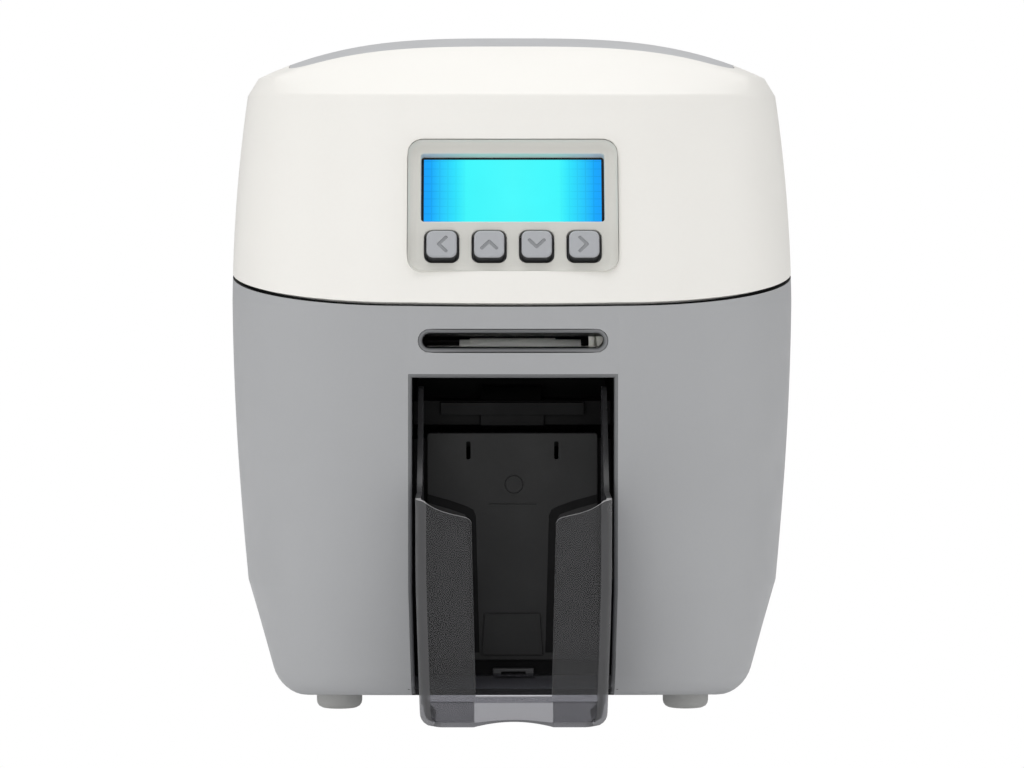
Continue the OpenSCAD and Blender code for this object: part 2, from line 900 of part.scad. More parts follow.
module ethernet_socket() {
    color([0.7, 0.7, 0.72])
    difference() {
        box(net_x - net_w / 2, net_x + net_w / 2, panel_y + panel_t + socket_out - socket_l,
            panel_y + panel_t + socket_out, board_top, board_top + net_h);
        box(net_x - 5.9, net_x + 5.9, y_rear - 14, y_rear, board_top + 2.4, board_top + net_h - 2.4);
    }
}

module power_inlet() {
    color([0.08, 0.08, 0.08])
    difference() {
        union() {
            rod_y(panel_y - 12, panel_y + panel_t + socket_out, inlet_x, inlet_z, inlet_d / 2);
            box(inlet_x - 7, inlet_x + 7, panel_y - 14, panel_y - 1, board_top, inlet_z);
        }
        rod_y(panel_y - 9, y_rear + 1, inlet_x, inlet_z, 4.4);
    }
}

module switch_body() {
    color([0.06, 0.06, 0.06])
    difference() {
        union() {
            box(switch_x - switch_w / 2 + 0.3, switch_x + switch_w / 2 - 0.3, panel_y - 12, panel_y + panel_t,
                switch_z - switch_h / 2 + 0.3, switch_z + switch_h / 2 - 0.3);
            box(switch_x - switch_w / 2 - 1.5, switch_x + switch_w / 2 + 1.5, panel_y + panel_t,
                panel_y + panel_t + 1.2, switch_z - switch_h / 2 - 1.5, switch_z + switch_h / 2 + 1.5);
        }
        box(switch_x - 5.6, switch_x + 5.6, panel_y - 9, y_rear + 1, switch_z - 9, switch_z + 9);
        rod_x(switch_x - 7.1, switch_x + 7.1, panel_y - 1, switch_z, 1 + run_fit);
    }
}

rocker_tilt = 8;
rocker_half = 5.2;
rocker_top = 8.2;
module power_rocker() {
    color([0.1, 0.1, 0.1])
    translate([switch_x, panel_y - 1, switch_z])
        rotate([-rocker_tilt, 0, 0]) {
            bar_x(-rocker_half, rocker_half)
                polygon([
                    [-3, -3], [-3, 3], [2.5, rocker_top], [3.9, rocker_top],
                    [2.6, 0], [3.9, -rocker_top], [2.5, -rocker_top]
                ]);
            rod_x(-7, 7, 0, 0, 1);
        }
}

module rear_panel() {
    w = panel_w + 2 * panel_lap - 2;
    color([0.55, 0.56, 0.58])
    difference() {
        box(-w / 2, w / 2, panel_y, panel_y + panel_t, panel_z0 - panel_lap, panel_z1 + panel_lap);
        rod_y(panel_y - 1, panel_y + panel_t + 1, fan_x, fan_z, fan_bore / 2);
        rod_y(panel_y - 1, panel_y + panel_t + 1, inlet_x, inlet_z, inlet_d / 2 + 0.2);
        box(usb_x - usb_w / 2 - 0.3, usb_x + usb_w / 2 + 0.3, panel_y - 1, panel_y + panel_t + 1,
            board_top - 0.3, board_top + usb_h + 0.3);
        box(net_x - net_w / 2 - 0.3, net_x + net_w / 2 + 0.3, panel_y - 1, panel_y + panel_t + 1,
            board_top - 0.3, board_top + net_h + 0.3);
        box(switch_x - switch_w / 2, switch_x + switch_w / 2, panel_y - 1, panel_y + panel_t + 1,
            switch_z - switch_h / 2, switch_z + switch_h / 2);
        // Ventilation slots beside the fan
        for (i = [0:4])
            box(8, 34, panel_y - 1, panel_y + panel_t + 1, fan_z - 22 + 10 * i, fan_z - 18 + 10 * i);
    }
}

hub_r = 11;
module fan_frame() {
    h = fan_w / 2;
    color([0.07, 0.07, 0.07])
    difference() {
        union() {
            difference() {
                box(fan_x - h, fan_x + h, panel_y - fan_t, panel_y, fan_z - h, fan_z + h);
                rod_y(panel_y - fan_t - 1, panel_y + 1, fan_x, fan_z, fan_bore / 2);
            }
            rod_y(panel_y - fan_t, panel_y - fan_t + 3, fan_x, fan_z, hub_r + 1);
            for (a = [30, 150, 270])
                translate([fan_x, 0, fan_z])
                    rotate([0, a, 0])
                        box(hub_r, fan_bore / 2 + 1, panel_y - fan_t, panel_y - fan_t + 3, -1.5, 1.5);
        }
        rod_y(panel_y - fan_t - 1, panel_y - fan_t + 4, fan_x, fan_z, 1.5 + run_fit);
    }
}

module fan_rotor() {
    y0 = panel_y - fan_t + 3.5;
    color([0.1, 0.1, 0.1]) {
        rod_y(y0, panel_y - 1.5, fan_x, fan_z, hub_r);
        rod_y(panel_y - fan_t + 0.5, y0, fan_x, fan_z, 1.5);
        for (i = [0:6])
            translate([fan_x, (y0 + panel_y - 1.5) / 2, fan_z])
                rotate([0, 360 * i / 7, 0])
                    rotate([35, 0, 0])
                        box(hub_r - 1, fan_bore / 2 - 1, -0.6, 0.6, -6, 6);
    }
}

module fan_grille() {
    y0 = panel_y + panel_t;
    wire = 1;
    color([0.75, 0.76, 0.78])
    translate([fan_x, y0, fan_z])
        rotate([-90, 0, 0]) {
            for (r = [8, 14.5, 21, 27.5])
                difference() {
                    cylinder(h = 2 * wire, r = r + wire / 2, $fn = 48);
                    translate([0, 0, -1])
                        cylinder(h = 2 * wire + 2, r = r - wire / 2, $fn = 48);
                }
            for (a = [45, 135])
                rotate([0, 0, a])
                    box(-34, 34, -wire / 2, wire / 2, 0, wire);
        }
}

module screws() {
    head = 3;
    head_t = 1.8;
    color([0.7, 0.7, 0.72]) {
        for (y = [-1, 1] * motor_bolt, z = [-1, 1] * motor_bolt)
            rod_x(frame_out, frame_out + head_t, motor_y + y, motor_z + z, head);
        for (p = bar_places) {
            rod_x(frame_out, frame_out + head_t, p[0], p[1], head);
            rod_x(-frame_out - head_t, -frame_out, p[0], p[1], head);
        }
        for (x = [-1, 1] * (panel_w / 2 - 7), z = [panel_z0 + 7, panel_z1 - 7])
            rod_y(panel_y + panel_t, panel_y + panel_t + head_t, x, z, head);
    }
}

/* Lid hinge */
pin_r = hinge_pin_d / 2;
eye_r = 10;
arm_eye_r = 5.5;
bracket_t = 4;
arm_gap = 1.5;
post_y0 = hinge_y - 32;
post_y1 = hinge_y - skirt_r - 2;

module hinge_brackets() {
    color([0.6, 0.62, 0.64])
    for (s = [0, 1])
        mirror([s, 0, 0])
            bar_x(hinge_x - bracket_t / 2, hinge_x + bracket_t / 2)
                difference() {
                    union() {
                        translate([post_y0, pan_z])
                            square([post_y1 - post_y0, hinge_z + arm_eye_r - pan_z]);
                        translate([post_y0, hinge_z - arm_eye_r])
                            square([hinge_y - post_y0, 2 * arm_eye_r]);
                        translate([hinge_y, hinge_z])
                            circle(r = eye_r, $fn = 48);
                    }
                    translate([hinge_y, hinge_z])
                        circle(r = pin_r + run_fit, $fn = 48);
                }
}

module hinge_pins() {
    color([0.8, 0.8, 0.82])
    for (s = [0, 1])
        mirror([s, 0, 0])
            rod_x(hinge_x - bracket_t / 2 - 1, arm_x1 + 1, hinge_y, hinge_z, pin_r);
}

lid_frame_z = supply_z + film_supply_d / 2 + 8;
lid_frame_t = 2;
lid_frame_set = 62;
lid_frame_y0 = y_front + lid_frame_set;
lid_frame_y1 = hinge_y - lid_frame_set;
lid_frame_half = 85;
arm_x0 = hinge_x + bracket_t / 2 + arm_gap;
arm_x1 = arm_x0 + bracket_t;
arm_lap = 34;
arm_h = 14;

module hinge_arms() {
    z0 = lid_frame_z + lid_frame_t;
    color([0.6, 0.62, 0.64])
    for (s = [0, 1])
        mirror([s, 0, 0])
            bar_x(arm_x0, arm_x1)
                difference() {
                    union() {
                        polygon([
                            [lid_frame_y1 - arm_lap, z0], [hinge_y, z0], [hinge_y + arm_eye_r, hinge_z],
                            [hinge_y + arm_eye_r, hinge_z + arm_eye_r + 4], [hinge_y - 4, hinge_z + arm_h + 1],
                            [lid_frame_y1 - arm_lap, z0 + arm_h]
                        ]);
                        translate([hinge_y, hinge_z])
                            circle(r = arm_eye_r, $fn = 48);
                    }
                    translate([hinge_y, hinge_z])
                        circle(r = pin_r, $fn = 48);
                }
}

/* Lid */
post_in = 7;
post_back = 100;
post_places = [
    [-lid_frame_half + post_in, lid_frame_y0 + 12], [lid_frame_half - post_in, lid_frame_y0 + 12],
    [-lid_frame_half + post_in, crown_y + post_back], [lid_frame_half - post_in, crown_y + post_back]
];
post_r = 5;
post_fit = 0.05;
inlay_fit = 0.15;
inlay_y = hood_y + 1;
inlay_r = 12;

module inlay_prism(grow) {
    translate([0, inlay_y + inlay_l / 2, shoulder_z - 30])
        linear_extrude(80)
            rounded(inlay_w + 2 * grow, inlay_l + 2 * grow, inlay_r);
}

module lid_zone() {
    above_seam(seam_gap / 2);
    intersection() {
        rod_x(-case_w, case_w, hinge_y, hinge_z, skirt_r);
        bar_x(-case_w, case_w)
            polygon([
                [hinge_y, hinge_z + 1], [hinge_y, hinge_z],
                [hinge_y + 2 * skirt_r * cos(skirt_end), hinge_z - 2 * skirt_r * sin(skirt_end)],
                [hinge_y + 3 * skirt_r, hinge_z], [hinge_y + 3 * skirt_r, hinge_z + 1]
            ]);
    }
}

module lid_cavity_zone() {
    above_seam(-3, y1 = hinge_y);
    box(-case_w, case_w, hinge_y - 1, y_rear + wall, hinge_z, 2 * case_h);
    rod_x(-case_w, case_w, hinge_y, hinge_z, skirt_r - wall);
}

module lid_shell() {
    color([0.92, 0.92, 0.9])
    difference() {
        intersection() {
            high_form(0);
            lid_zone();
        }
        intersection() {
            high_form(wall);
            lid_cavity_zone();
        }
        // Recess for the console
        on_lid_front()
            translate([0, 0, console_up])
                slab_y(-4 * wall, 4 * wall)
                    rounded(console_w, console_h, console_r);
        // Recess for the inlay
        difference() {
            inlay_prism(inlay_fit);
            translate([0, 0, -inlay_t])
                high_form(0);
        }
    }
}

module top_inlay() {
    color([0.8, 0.8, 0.8])
    difference() {
        intersection() {
            high_form(0);
            inlay_prism(0);
        }
        translate([0, 0, -inlay_t])
            high_form(0);
    }
}

module lid_frame() {
    z0 = lid_frame_z;
    rail = 14;
    beam = 24;
    color([0.6, 0.62, 0.64]) {
        difference() {
            box(-lid_frame_half, lid_frame_half, lid_frame_y0, lid_frame_y1, z0, z0 + lid_frame_t);
            box(-lid_frame_half + rail, lid_frame_half - rail, lid_frame_y0 + rail, platen_y - beam,
                z0 - 1, z0 + lid_frame_t + 1);
            box(-lid_frame_half + rail, lid_frame_half - rail, platen_y + beam, lid_frame_y1 - 1.5 * rail,
                z0 - 1, z0 + lid_frame_t + 1);
        }
        // Posts up to the inside of the lid's top
        intersection() {
            high_form(wall + post_fit);
            for (p = post_places)
                translate([p[0], p[1], z0])
                    cylinder(h = case_h, r = post_r, $fn = 32);
        }
    }
}

head_z = film_z + film_t + 0.3;
head_w = 64;
head_t = 4.5;
sink_z = head_z + head_t;
sink_h = 12;
bracket_z = sink_z + sink_h;

module print_head() {
    color([0.85, 0.8, 0.7])
    box(-head_w / 2, head_w / 2, platen_y - 5, platen_y + 5, head_z, sink_z);
}

module head_sink() {
    fins = 5;
    color([0.75, 0.76, 0.78]) {
        box(-head_w / 2, head_w / 2, platen_y - head_half, platen_y + head_half, sink_z, sink_z + 4);
        for (i = [0:fins - 1])
            translate([0, platen_y - head_half + i * (2 * head_half - 2) / (fins - 1), 0])
                box(-head_w / 2, head_w / 2, 0, 2, sink_z + 4, bracket_z);
    }
}

module head_bracket() {
    x = 27;
    color([0.3, 0.3, 0.31])
    difference() {
        box(-x, x, platen_y - head_half, platen_y + head_half, bracket_z, lid_frame_z);
        box(-x + 2, x - 2, platen_y - head_half - 1, platen_y + head_half + 1, bracket_z + 2, lid_frame_z - 2);
    }
}

/* Console */
bezel_back = console_deep + 2.5;
flange_t = 1.5;
flange_lap = 3;
panel_back = bezel_back + flange_t;
key_flange = 15;
key_flange_t = 1.5;
window_t = 1.2;
module_t = 6.8;
module_h = 2 * (lcd_up - key_up - key_flange / 2 - 0.6);
keys_x = [-1.5, -0.5, 0.5, 1.5] * key_pitch;
board_gap = key_travel + key_flange_t + 2 * slip;

module console_bezel() {
    fit = 0.3;
    hole = key_w + 2 * key_gap;
    color([0.86, 0.86, 0.84])
    on_lid_front()
        difference() {
            union() {
                translate([0, 0, console_up])
                    slab_y(console_deep, bezel_back)
                        rounded(console_w - fit, console_h - fit, console_r - fit / 2);
                translate([0, 0, console_up])
                    slab_y(bezel_back, panel_back)
                        rounded(console_w + 2 * flange_lap, console_h + 2 * flange_lap, console_r);
                for (x = [-1, 1] * (console_w / 2 - 2.5), z = [key_up - 5, key_up + 5])
                    translate([x, 0, z])
                        rod_y(panel_back, panel_back + board_gap, 0, 0, 2);
            }
            translate([0, 0, lcd_up])
                slab_y(0, panel_back + 1)
                    rounded(lcd_w, lcd_h, 1);
            for (x = keys_x)
                translate([x, 0, key_up])
                    slab_y(0, panel_back + 1)
                        rounded(hole, hole, 2.6);
        }
}

module lcd_window() {
    color([0.3, 0.8, 0.95, 0.6])
    on_lid_front()
        translate([0, 0, lcd_up])
            slab_y(panel_back, panel_back + window_t)
                square([lcd_w + 3, module_h - 1], center = true);
}

module lcd_module() {
    color([0.2, 0.8, 0.95])
    on_lid_front()
        translate([0, 0, lcd_up])
            slab_y(panel_back + window_t, panel_back + window_t + module_t)
                square([lcd_w + 8, module_h], center = true);
}

module keypad_board() {
    color([0.1, 0.35, 0.2])
    on_lid_front()
        translate([0, 0, key_up])
            slab_y(panel_back + board_gap, panel_back + board_gap + 1.6)
                square([console_w, 15], center = true);
}

module key(i) {
    color([0.65, 0.66, 0.68])
    on_lid_front()
        translate([keys_x[i], 0, key_up]) {
            slab_y(console_deep - key_proud, panel_back + slip)
                rounded(key_w, key_w, 2);
            slab_y(panel_back + slip, panel_back + slip + key_flange_t)
                rounded(key_flange, key_flange, 2);
        }
}

module key_left() {
    key(0);
}

module key_up_arrow() {
    key(1);
}

module key_down_arrow() {
    key(2);
}

module key_right() {
    key(3);
}

/* Stacker, door and lift */
tray_y = y_front - tray_reach;
tray_half = tray_w / 2;
tray_rear = tray_y + tray_l;
tray_z = 3;
tray_floor_z = floor_z + 0.5;
tray_floor_t = 2.5;
skirt_y = y_front - 3;
tray_r = 4;
wing_drop = 5;
ear_z = 124;

module tray_plan(inset, rear) {
    r = tray_r - inset * 0.9;
    y0 = tray_y + inset;
    w = tray_half - inset;
    translate([-w, y0 + r])
        square([2 * w, rear - y0 - r]);
    translate([-w + r, y0])
        square([2 * (w - r), 2 * r]);
    for (s = [-1, 1])
        translate([s * (w - r), y0 + r])
            circle(r = r, $fn = 32);
}

module card_tray() {
    mid = finger_gap / 2;
    mid_low = mid - 1.7;
    wing_in = wing_z - wing_drop;
    lip_r = 47.5;
    color([0.16, 0.16, 0.17, 0.85])
    difference() {
        intersection() {
            union() {
                linear_extrude(case_h)
                    difference() {
                        tray_plan(0, tray_rear);
                        tray_plan(tray_wall, tray_rear + wall);
                    }
                translate([0, 0, tray_floor_z])
                    linear_extrude(tray_floor_t)
                        tray_plan(tray_wall / 2, tray_rear);
            }
            // Side outline: deep skirt in front, ears at the rear
            bar_x(-case_w, case_w)
                polygon([
                    [tray_y - 1, tray_z], [skirt_y - 4, tray_z], [skirt_y, tray_floor_z],
                    [tray_rear, tray_floor_z], [tray_rear, ear_z], [tray_rear - 10, ear_z],
                    [y_front + 7, wing_z + 10], [skirt_y, wing_z + 1], [tray_y - 1, wing_z + 1]
                ]);
        }
        // Sloping top of the wings
        slab_y(tray_y - 1, tray_y + 2 * tray_r)
            polygon([
                [-tray_half, wing_z + 1], [-tray_half + 4.5, wing_z], [-mid - 7, wing_in + 1],
                [-mid, wing_in - 4], [-mid_low, tray_floor_z + tray_floor_t],
                [mid_low, tray_floor_z + tray_floor_t], [mid, wing_in - 4], [mid + 7, wing_in + 1],
                [tray_half - 4.5, wing_z], [tray_half, wing_z + 1], [tray_half, case_h], [-tray_half, case_h]
            ]);
        // Shallow arch under the front lip
        rod_y(tray_y - 1, tray_y + 3 * tray_r, 0, tray_z + 3.6 - lip_r, lip_r);
    }
}

module hopper_door() {
    color([0.18, 0.18, 0.18]) {
        difference() {
            box(-door_w / 2, door_w / 2, door_y - door_t / 2, door_y + door_t / 2, door_z, door_top);
            for (x = [-1, 1] * 16.5)
                box(x - 0.8, x + 0.8, door_y - door_t, door_y + door_t, door_top - 11, door_top - 4);
        }
        rod_x(-liner_x - liner_t + 0.1, liner_x + liner_t - 0.1, door_y, door_z, door_pin_d / 2);
        // Latch block with its recess at the foot of the door
        box(-15, 15, door_y - door_t / 2 - 2, door_y - door_t / 2, door_z + 4, door_z + 24);
        box(-10, 10, door_y - door_t / 2 - 4, door_y - door_t / 2 - 2, door_z + 4, door_z + 8);
    }
}

lift_t = 2;
spring_d = 22;
lift_y0 = door_y + 6;
lift_y1 = door_y + card_l;

module card_lift() {
    color([0.1, 0.1, 0.1]) {
        box(-card_w / 2, card_w / 2, lift_y0, lift_y1, lift_top - lift_t, lift_top);
        translate([0, (lift_y0 + lift_y1) / 2, lift_top - lift_t - 4])
            cylinder(h = 4, r = spring_d / 2 - 2.5, $fn = 32);
    }
}

module lift_spring() {
    color([0.7, 0.7, 0.72])
    translate([0, (lift_y0 + lift_y1) / 2, floor_z])
        difference() {
            cylinder(h = lift_top - lift_t - floor_z, r = spring_d / 2, $fn = 48);
            translate([0, 0, -1])
                cylinder(h = lift_top, r = spring_d / 2 - 1.5, $fn = 48);
        }
}

body_shell();
front_bridge();
base_pan();
rubber_feet();
bay_liner();
hand_feed_guide();
exit_guide();
side_frame_left();
side_frame_right();
tie_bars();
hopper_guides();
lower_card_guide();
edge_guide();
main_board();
board_parts();
board_standoffs();
usb_socket();
ethernet_socket();
power_inlet();
switch_body();
rear_panel();
fan_frame();
fan_grille();
main_motor();
film_motor();
pick_motor();
drive_belt();
screws();
hinge_brackets();
print_film();
card_tray();
hopper_door();
card_lift();
lift_spring();
entry_roller();
cleaning_roller();
platen_roller();
rear_roller();
entry_pinch_roller();
rear_pinch_roller();
pick_roller();
motor_pulley();
supply_spool();
takeup_spool();
fan_rotor();
power_rocker();
lid_shell();
top_inlay();
lid_frame();
hinge_arms();
hinge_pins();
print_head();
head_sink();
head_bracket();
console_bezel();
lcd_window();
lcd_module();
keypad_board();
key_left();
key_up_arrow();
key_down_arrow();
key_right();
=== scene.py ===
import bpy
import bmesh
import json
import math
from mathutils import Vector, Matrix
from mathutils.geometry import tessellate_polygon


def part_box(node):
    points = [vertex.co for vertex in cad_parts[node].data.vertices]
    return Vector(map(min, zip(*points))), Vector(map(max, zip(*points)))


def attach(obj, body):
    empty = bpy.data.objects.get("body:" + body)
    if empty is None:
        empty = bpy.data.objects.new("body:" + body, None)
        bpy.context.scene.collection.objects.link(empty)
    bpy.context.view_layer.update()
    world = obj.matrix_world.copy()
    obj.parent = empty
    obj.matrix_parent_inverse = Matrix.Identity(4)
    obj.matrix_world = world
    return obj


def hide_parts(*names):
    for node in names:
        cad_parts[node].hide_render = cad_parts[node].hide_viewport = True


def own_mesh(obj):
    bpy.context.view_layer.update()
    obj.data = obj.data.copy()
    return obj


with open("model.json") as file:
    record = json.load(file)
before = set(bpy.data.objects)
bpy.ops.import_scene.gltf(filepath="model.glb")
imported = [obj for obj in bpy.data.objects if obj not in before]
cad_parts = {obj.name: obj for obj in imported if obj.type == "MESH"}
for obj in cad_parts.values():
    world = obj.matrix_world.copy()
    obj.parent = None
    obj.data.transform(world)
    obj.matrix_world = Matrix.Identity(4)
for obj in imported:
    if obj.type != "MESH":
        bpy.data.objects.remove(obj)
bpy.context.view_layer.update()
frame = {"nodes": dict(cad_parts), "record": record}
nodes = frame["nodes"]
MM, MERGE, GRAIN_MM = 0.001, 0.002, 0.02
scene = bpy.context.scene

# ---------------------------------------------------------------- casing sizes, in mm
Y_FRONT, Y_REAR = -183.0, 225.0
HALF_W, BASE_Z, EDGE_R = 110.0, 8.0, 9.0
CORNER_R, REAR_R, BOW = 70.0, 30.0, 2.0
BELLY_Z, BREAK_Z, BREAK_IN, BASE_IN = 165.0, 48.0, 6.5, 19.9
CREASE_Z, CREASE_IN, LEAN = 237.0, 4.7, 34.0
SEAM_Z, SEAM_TAN, SEAM_GAP = 157.0, math.tan(math.radians(7.5)), 1.3
CASE_H, HOOD_Z, HOOD_Y, CROWN_Y = 261.0, 256.0, -113.0, -33.0
SHOULDER_Z, SHOULDER_IN, ARCH_POWER = 244.0, 4.3, 3.2
CROWN_FALL, SHOULDER_FALL = 26.0, 14.0
SAG_Y, SAG_Z, SAG_END = 162.0, 246.15, 234.0
BAY_HALF, BAY_LOW, BAY_TOP, BAY_TAPER = 38.3, 8.6, 129.4, 1.4
SLOT_Z, SLOT_W, SLOT_H, THROAT_D = 143.4, 68.7, 5.8, 18.0
PANEL_HALF, PANEL_LOW, PANEL_TOP = 75.0, 30.0, 150.0
SKIRT_R, HINGE_Y = 13.0, 211.6
SKIRT_A = math.radians(60)
HINGE_Z = SEAM_Z + (HINGE_Y - Y_FRONT) * SEAM_TAN + 2.5
FLAT_HALF = HALF_W - CORNER_R
BOW_R = (FLAT_HALF ** 2 + BOW ** 2) / (2 * BOW)
RIM, SHELL_T = 1.3, 2.5
BAY_EDGE = BAY_HALF + RIM
# Heights from which the search for the body's upper and the lid's lower edge starts
SEAM_START, LID_START = 170.0, 175.0
# The lower front corners are squarer than the upper ones, and the skirt's edge falls behind the front
SQUARE, SQUARE_Z, DROP = 0.85, 84.0, 3.6
LEAN_A = math.atan(LEAN / (CREASE_Z - SEAM_Z))
SIN_L, COS_L = math.sin(LEAN_A), math.cos(LEAN_A)
# Console on the lid's leaning front: width, height, corner and middle of the frame, then display and keys
CW, CH, CRAD, CUP = 80.6, 54.6, 6.0, 41.0
LCD_W, LCD_H, LCD_UP = 70.0, 28.0, 49.1
KEY_W, PITCH, KEY_UP = 11.4, 18.05, 24.8


def unit(v):
    """v held between 0 and 1."""
    return min(1.0, max(0.0, v))


def ease(v):
    """Step from 0 to 1 with level ends."""
    return v * v * (3.0 - 2.0 * v)


def spread(a, b, n):
    """n even steps from a, without it, to b."""
    return [a + (b - a) * i / n for i in range(1, n + 1)]


def seam_at(y):
    return SEAM_Z + (y - Y_FRONT) * SEAM_TAN


def side_in(z):
    """Inset of the side wall from the widest outline."""
    if z > BELLY_Z:
        return CREASE_IN * ((z - BELLY_Z) / (CREASE_Z - BELLY_Z)) ** 2
    if z > BREAK_Z:
        return BREAK_IN * ((BELLY_Z - z) / (BELLY_Z - BREAK_Z)) ** 2
    return BREAK_IN + (BASE_IN - BREAK_IN) * (BREAK_Z - z) / (BREAK_Z - BASE_Z)


def front_in(z):
    return LEAN * (z - SEAM_Z) / (CREASE_Z - SEAM_Z) if z > SEAM_Z else 0.0


def edge_in(z):
    """Inset of the rounded lower edge."""
    if z >= BASE_Z + EDGE_R:
        return 0.0
    return EDGE_R - math.sqrt(max(0.0, EDGE_R ** 2 - (BASE_Z + EDGE_R - z) ** 2))


def bow_at(x):
    return BOW_R - math.sqrt(BOW_R ** 2 - min(abs(x), FLAT_HALF) ** 2)


def bay_half_at(z, grow=0.0):
    low = BAY_TAPER * max(0.0, (BREAK_Z - z) / BREAK_Z)
    return BAY_HALF - low + grow


def plan_point(col, z, mid_x=None):
    """Point of the outline at height z for a column, which is (kind, place along that kind)."""
    kind, v = col
    e = edge_in(z)
    inset = side_in(z)
    r = CORNER_R - inset - e
    cy = Y_FRONT + front_in(z) + BOW + e + r
    rr = max(2.0, REAR_R - inset - e)
    xr, yr = HALF_W - inset - e - rr, Y_REAR - e - rr
    if kind == "mid":
        x = v * mid_x
        return x, cy - r - BOW + bow_at(x)
    if kind == "gap":
        x = mid_x + v * (FLAT_HALF - mid_x)
        return x, cy - r - BOW + bow_at(x)
    if kind == "arc":
        p = 2.0 / (2.0 + SQUARE * ease(unit((SQUARE_Z - z) / (SQUARE_Z - BASE_Z))))
        return FLAT_HALF + r * abs(math.cos(v)) ** p, cy - r * abs(math.sin(v)) ** p
    if kind == "side":
        return FLAT_HALF + r, cy + v * (yr - cy)
    if kind == "rear":
        return xr + rr * math.cos(v), yr + rr * math.sin(v)
    return xr * (1.0 - v), Y_REAR - e


def half_columns(n_mid, n_gap):
    """Columns from the middle of the front to the middle of the rear."""
    cols = [("mid", i / n_mid) for i in range(n_mid + 1)]
    cols += [("gap", i / n_gap) for i in range(1, n_gap)]
    cols += [("arc", -math.pi / 2 * (1 - i / 44)) for i in range(45)]
    cols += [("side", t) for t in spread(0, 1, 40)]
    cols += [("rear", a) for a in spread(0, math.pi / 2, 26)]
    cols += [("back", t) for t in spread(0, 1, 16)]
    return cols


def both_sides(half):
    """Column, sign pairs round the whole casing, starting in the middle of the front."""
    right = [(c, 1) for c in half]
    left = [(c, -1) for c in half[1:-1]]
    return right + left[::-1]


# ---------------------------------------------------------------- mesh helpers
def link(obj):
    scene.collection.objects.link(obj)
    return obj


def add_row(verts, points):
    """Adds points to verts and returns their numbers."""
    base = len(verts)
    verts += points
    return list(range(base, len(verts)))


def left_to_right(half):
    """Column, sign pairs across an open front, from the left end to the right end."""
    return [(c, -1) for c in half[:0:-1]] + [(c, 1) for c in half]


def join_rows(faces, rows, closed=True, skip=None):
    """Faces between each row of points and the next, apart from those that skip(k, i) leaves open."""
    for k, (a, b) in enumerate(zip(rows, rows[1:])):
        for i in range(len(a) if closed else len(a) - 1):
            j = (i + 1) % len(a)
            if not (skip and skip(k, i)):
                faces.append((a[i], a[j], b[j], b[i]))


def window_ring(grid, n_mid, k0, k1):
    """Points round the window left open in the front of a grid of rows."""
    n = len(grid[0])
    order = [(k0, i) for i in list(range(n - n_mid, n)) + list(range(0, n_mid))]
    order += [(k, n_mid) for k in range(k0, k1)]
    order += [(k1, i) for i in list(range(n_mid, 0, -1)) + [0] + list(range(n - 1, n - n_mid, -1))]
    order += [(k, n - n_mid) for k in range(k1, k0, -1)]
    return [grid[k][i] for k, i in order]


def between(table, x):
    """Value at x on the broken line through the table's points."""
    for a, b in zip(table, table[1:]):
        if x <= b[0]:
            return a[1] + (b[1] - a[1]) * max(0.0, x - a[0]) / (b[0] - a[0])
    return table[-1][1]


def make_object(name, verts, faces, body, slot, mats, replaces=(), face_mats=None, world=None, flat=None):
    """Piece from points in mm; mats is a material's name or a list of names, flat marks the flat faces."""
    mesh = bpy.data.meshes.new(name)
    mesh.from_pydata([tuple(c * MM for c in v) for v in verts], [], faces)
    mesh.update()
    obj = link(bpy.data.objects.new(name, mesh))
    for key in [mats] if isinstance(mats, str) else mats:
        mesh.materials.append(M[key])
    if face_mats:
        for p, i in zip(mesh.polygons, face_mats):
            p.material_index = i
    for i, p in enumerate(mesh.polygons):
        p.use_smooth = not (flat and flat[i])
    bm = bmesh.new()
    bm.from_mesh(mesh)
    bmesh.ops.remove_doubles(bm, verts=bm.verts, dist=MERGE * MM)
    bmesh.ops.recalc_face_normals(bm, faces=bm.faces)
    bm.to_mesh(mesh)
    bm.free()
    if world is not None:
        obj.matrix_world = world
    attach(obj, body)
    if replaces:
        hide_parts(*replaces)
    return obj


def soften(obj, width=0.0, segments=2, angle=40.0):
    """Rounded edges and normals that keep flat faces flat."""
    if width:
        b = obj.modifiers.new("edges", "BEVEL")
        b.width = width * MM
        b.segments = segments
        b.limit_method = "ANGLE"
        b.angle_limit = math.radians(angle)
    w = obj.modifiers.new("normals", "WEIGHTED_NORMAL")
    w.keep_sharp = True
    w.weight = 80
    return obj


def thicken(obj, t, even=True):
    """Wall of thickness t behind a skin."""
    s = obj.modifiers.new("wall", "SOLIDIFY")
    s.thickness = t * MM
    s.offset = -1.0
    s.use_even_offset = even
    return s


def rounded_rect(w, h, r, n=6, cx=0.0, cy=0.0):
    pts = []
    for sx, sy, a0 in ((1, 1, 0), (-1, 1, 90), (-1, -1, 180), (1, -1, 270)):
        for i in range(n + 1):
            a = math.radians(a0 + 90.0 * i / n)
            pts.append((cx + sx * (w / 2 - r) + r * math.cos(a), cy + sy * (h / 2 - r) + r * math.sin(a)))
    return pts


def stadium(w, h, n=20):
    pts = []
    for s, a0 in ((1, -90), (-1, 90)):
        for i in range(n + 1):
            a = math.radians(a0 + 180.0 * i / n)
            pts.append((s * (w - h) / 2 + h / 2 * math.cos(a), h / 2 * math.sin(a)))
    return pts


def circle(d, n, cx, cy):
    angles = [2 * math.pi * i / n for i in range(n)]
    return [(cx + d / 2 * math.cos(a), cy + d / 2 * math.sin(a)) for a in angles]


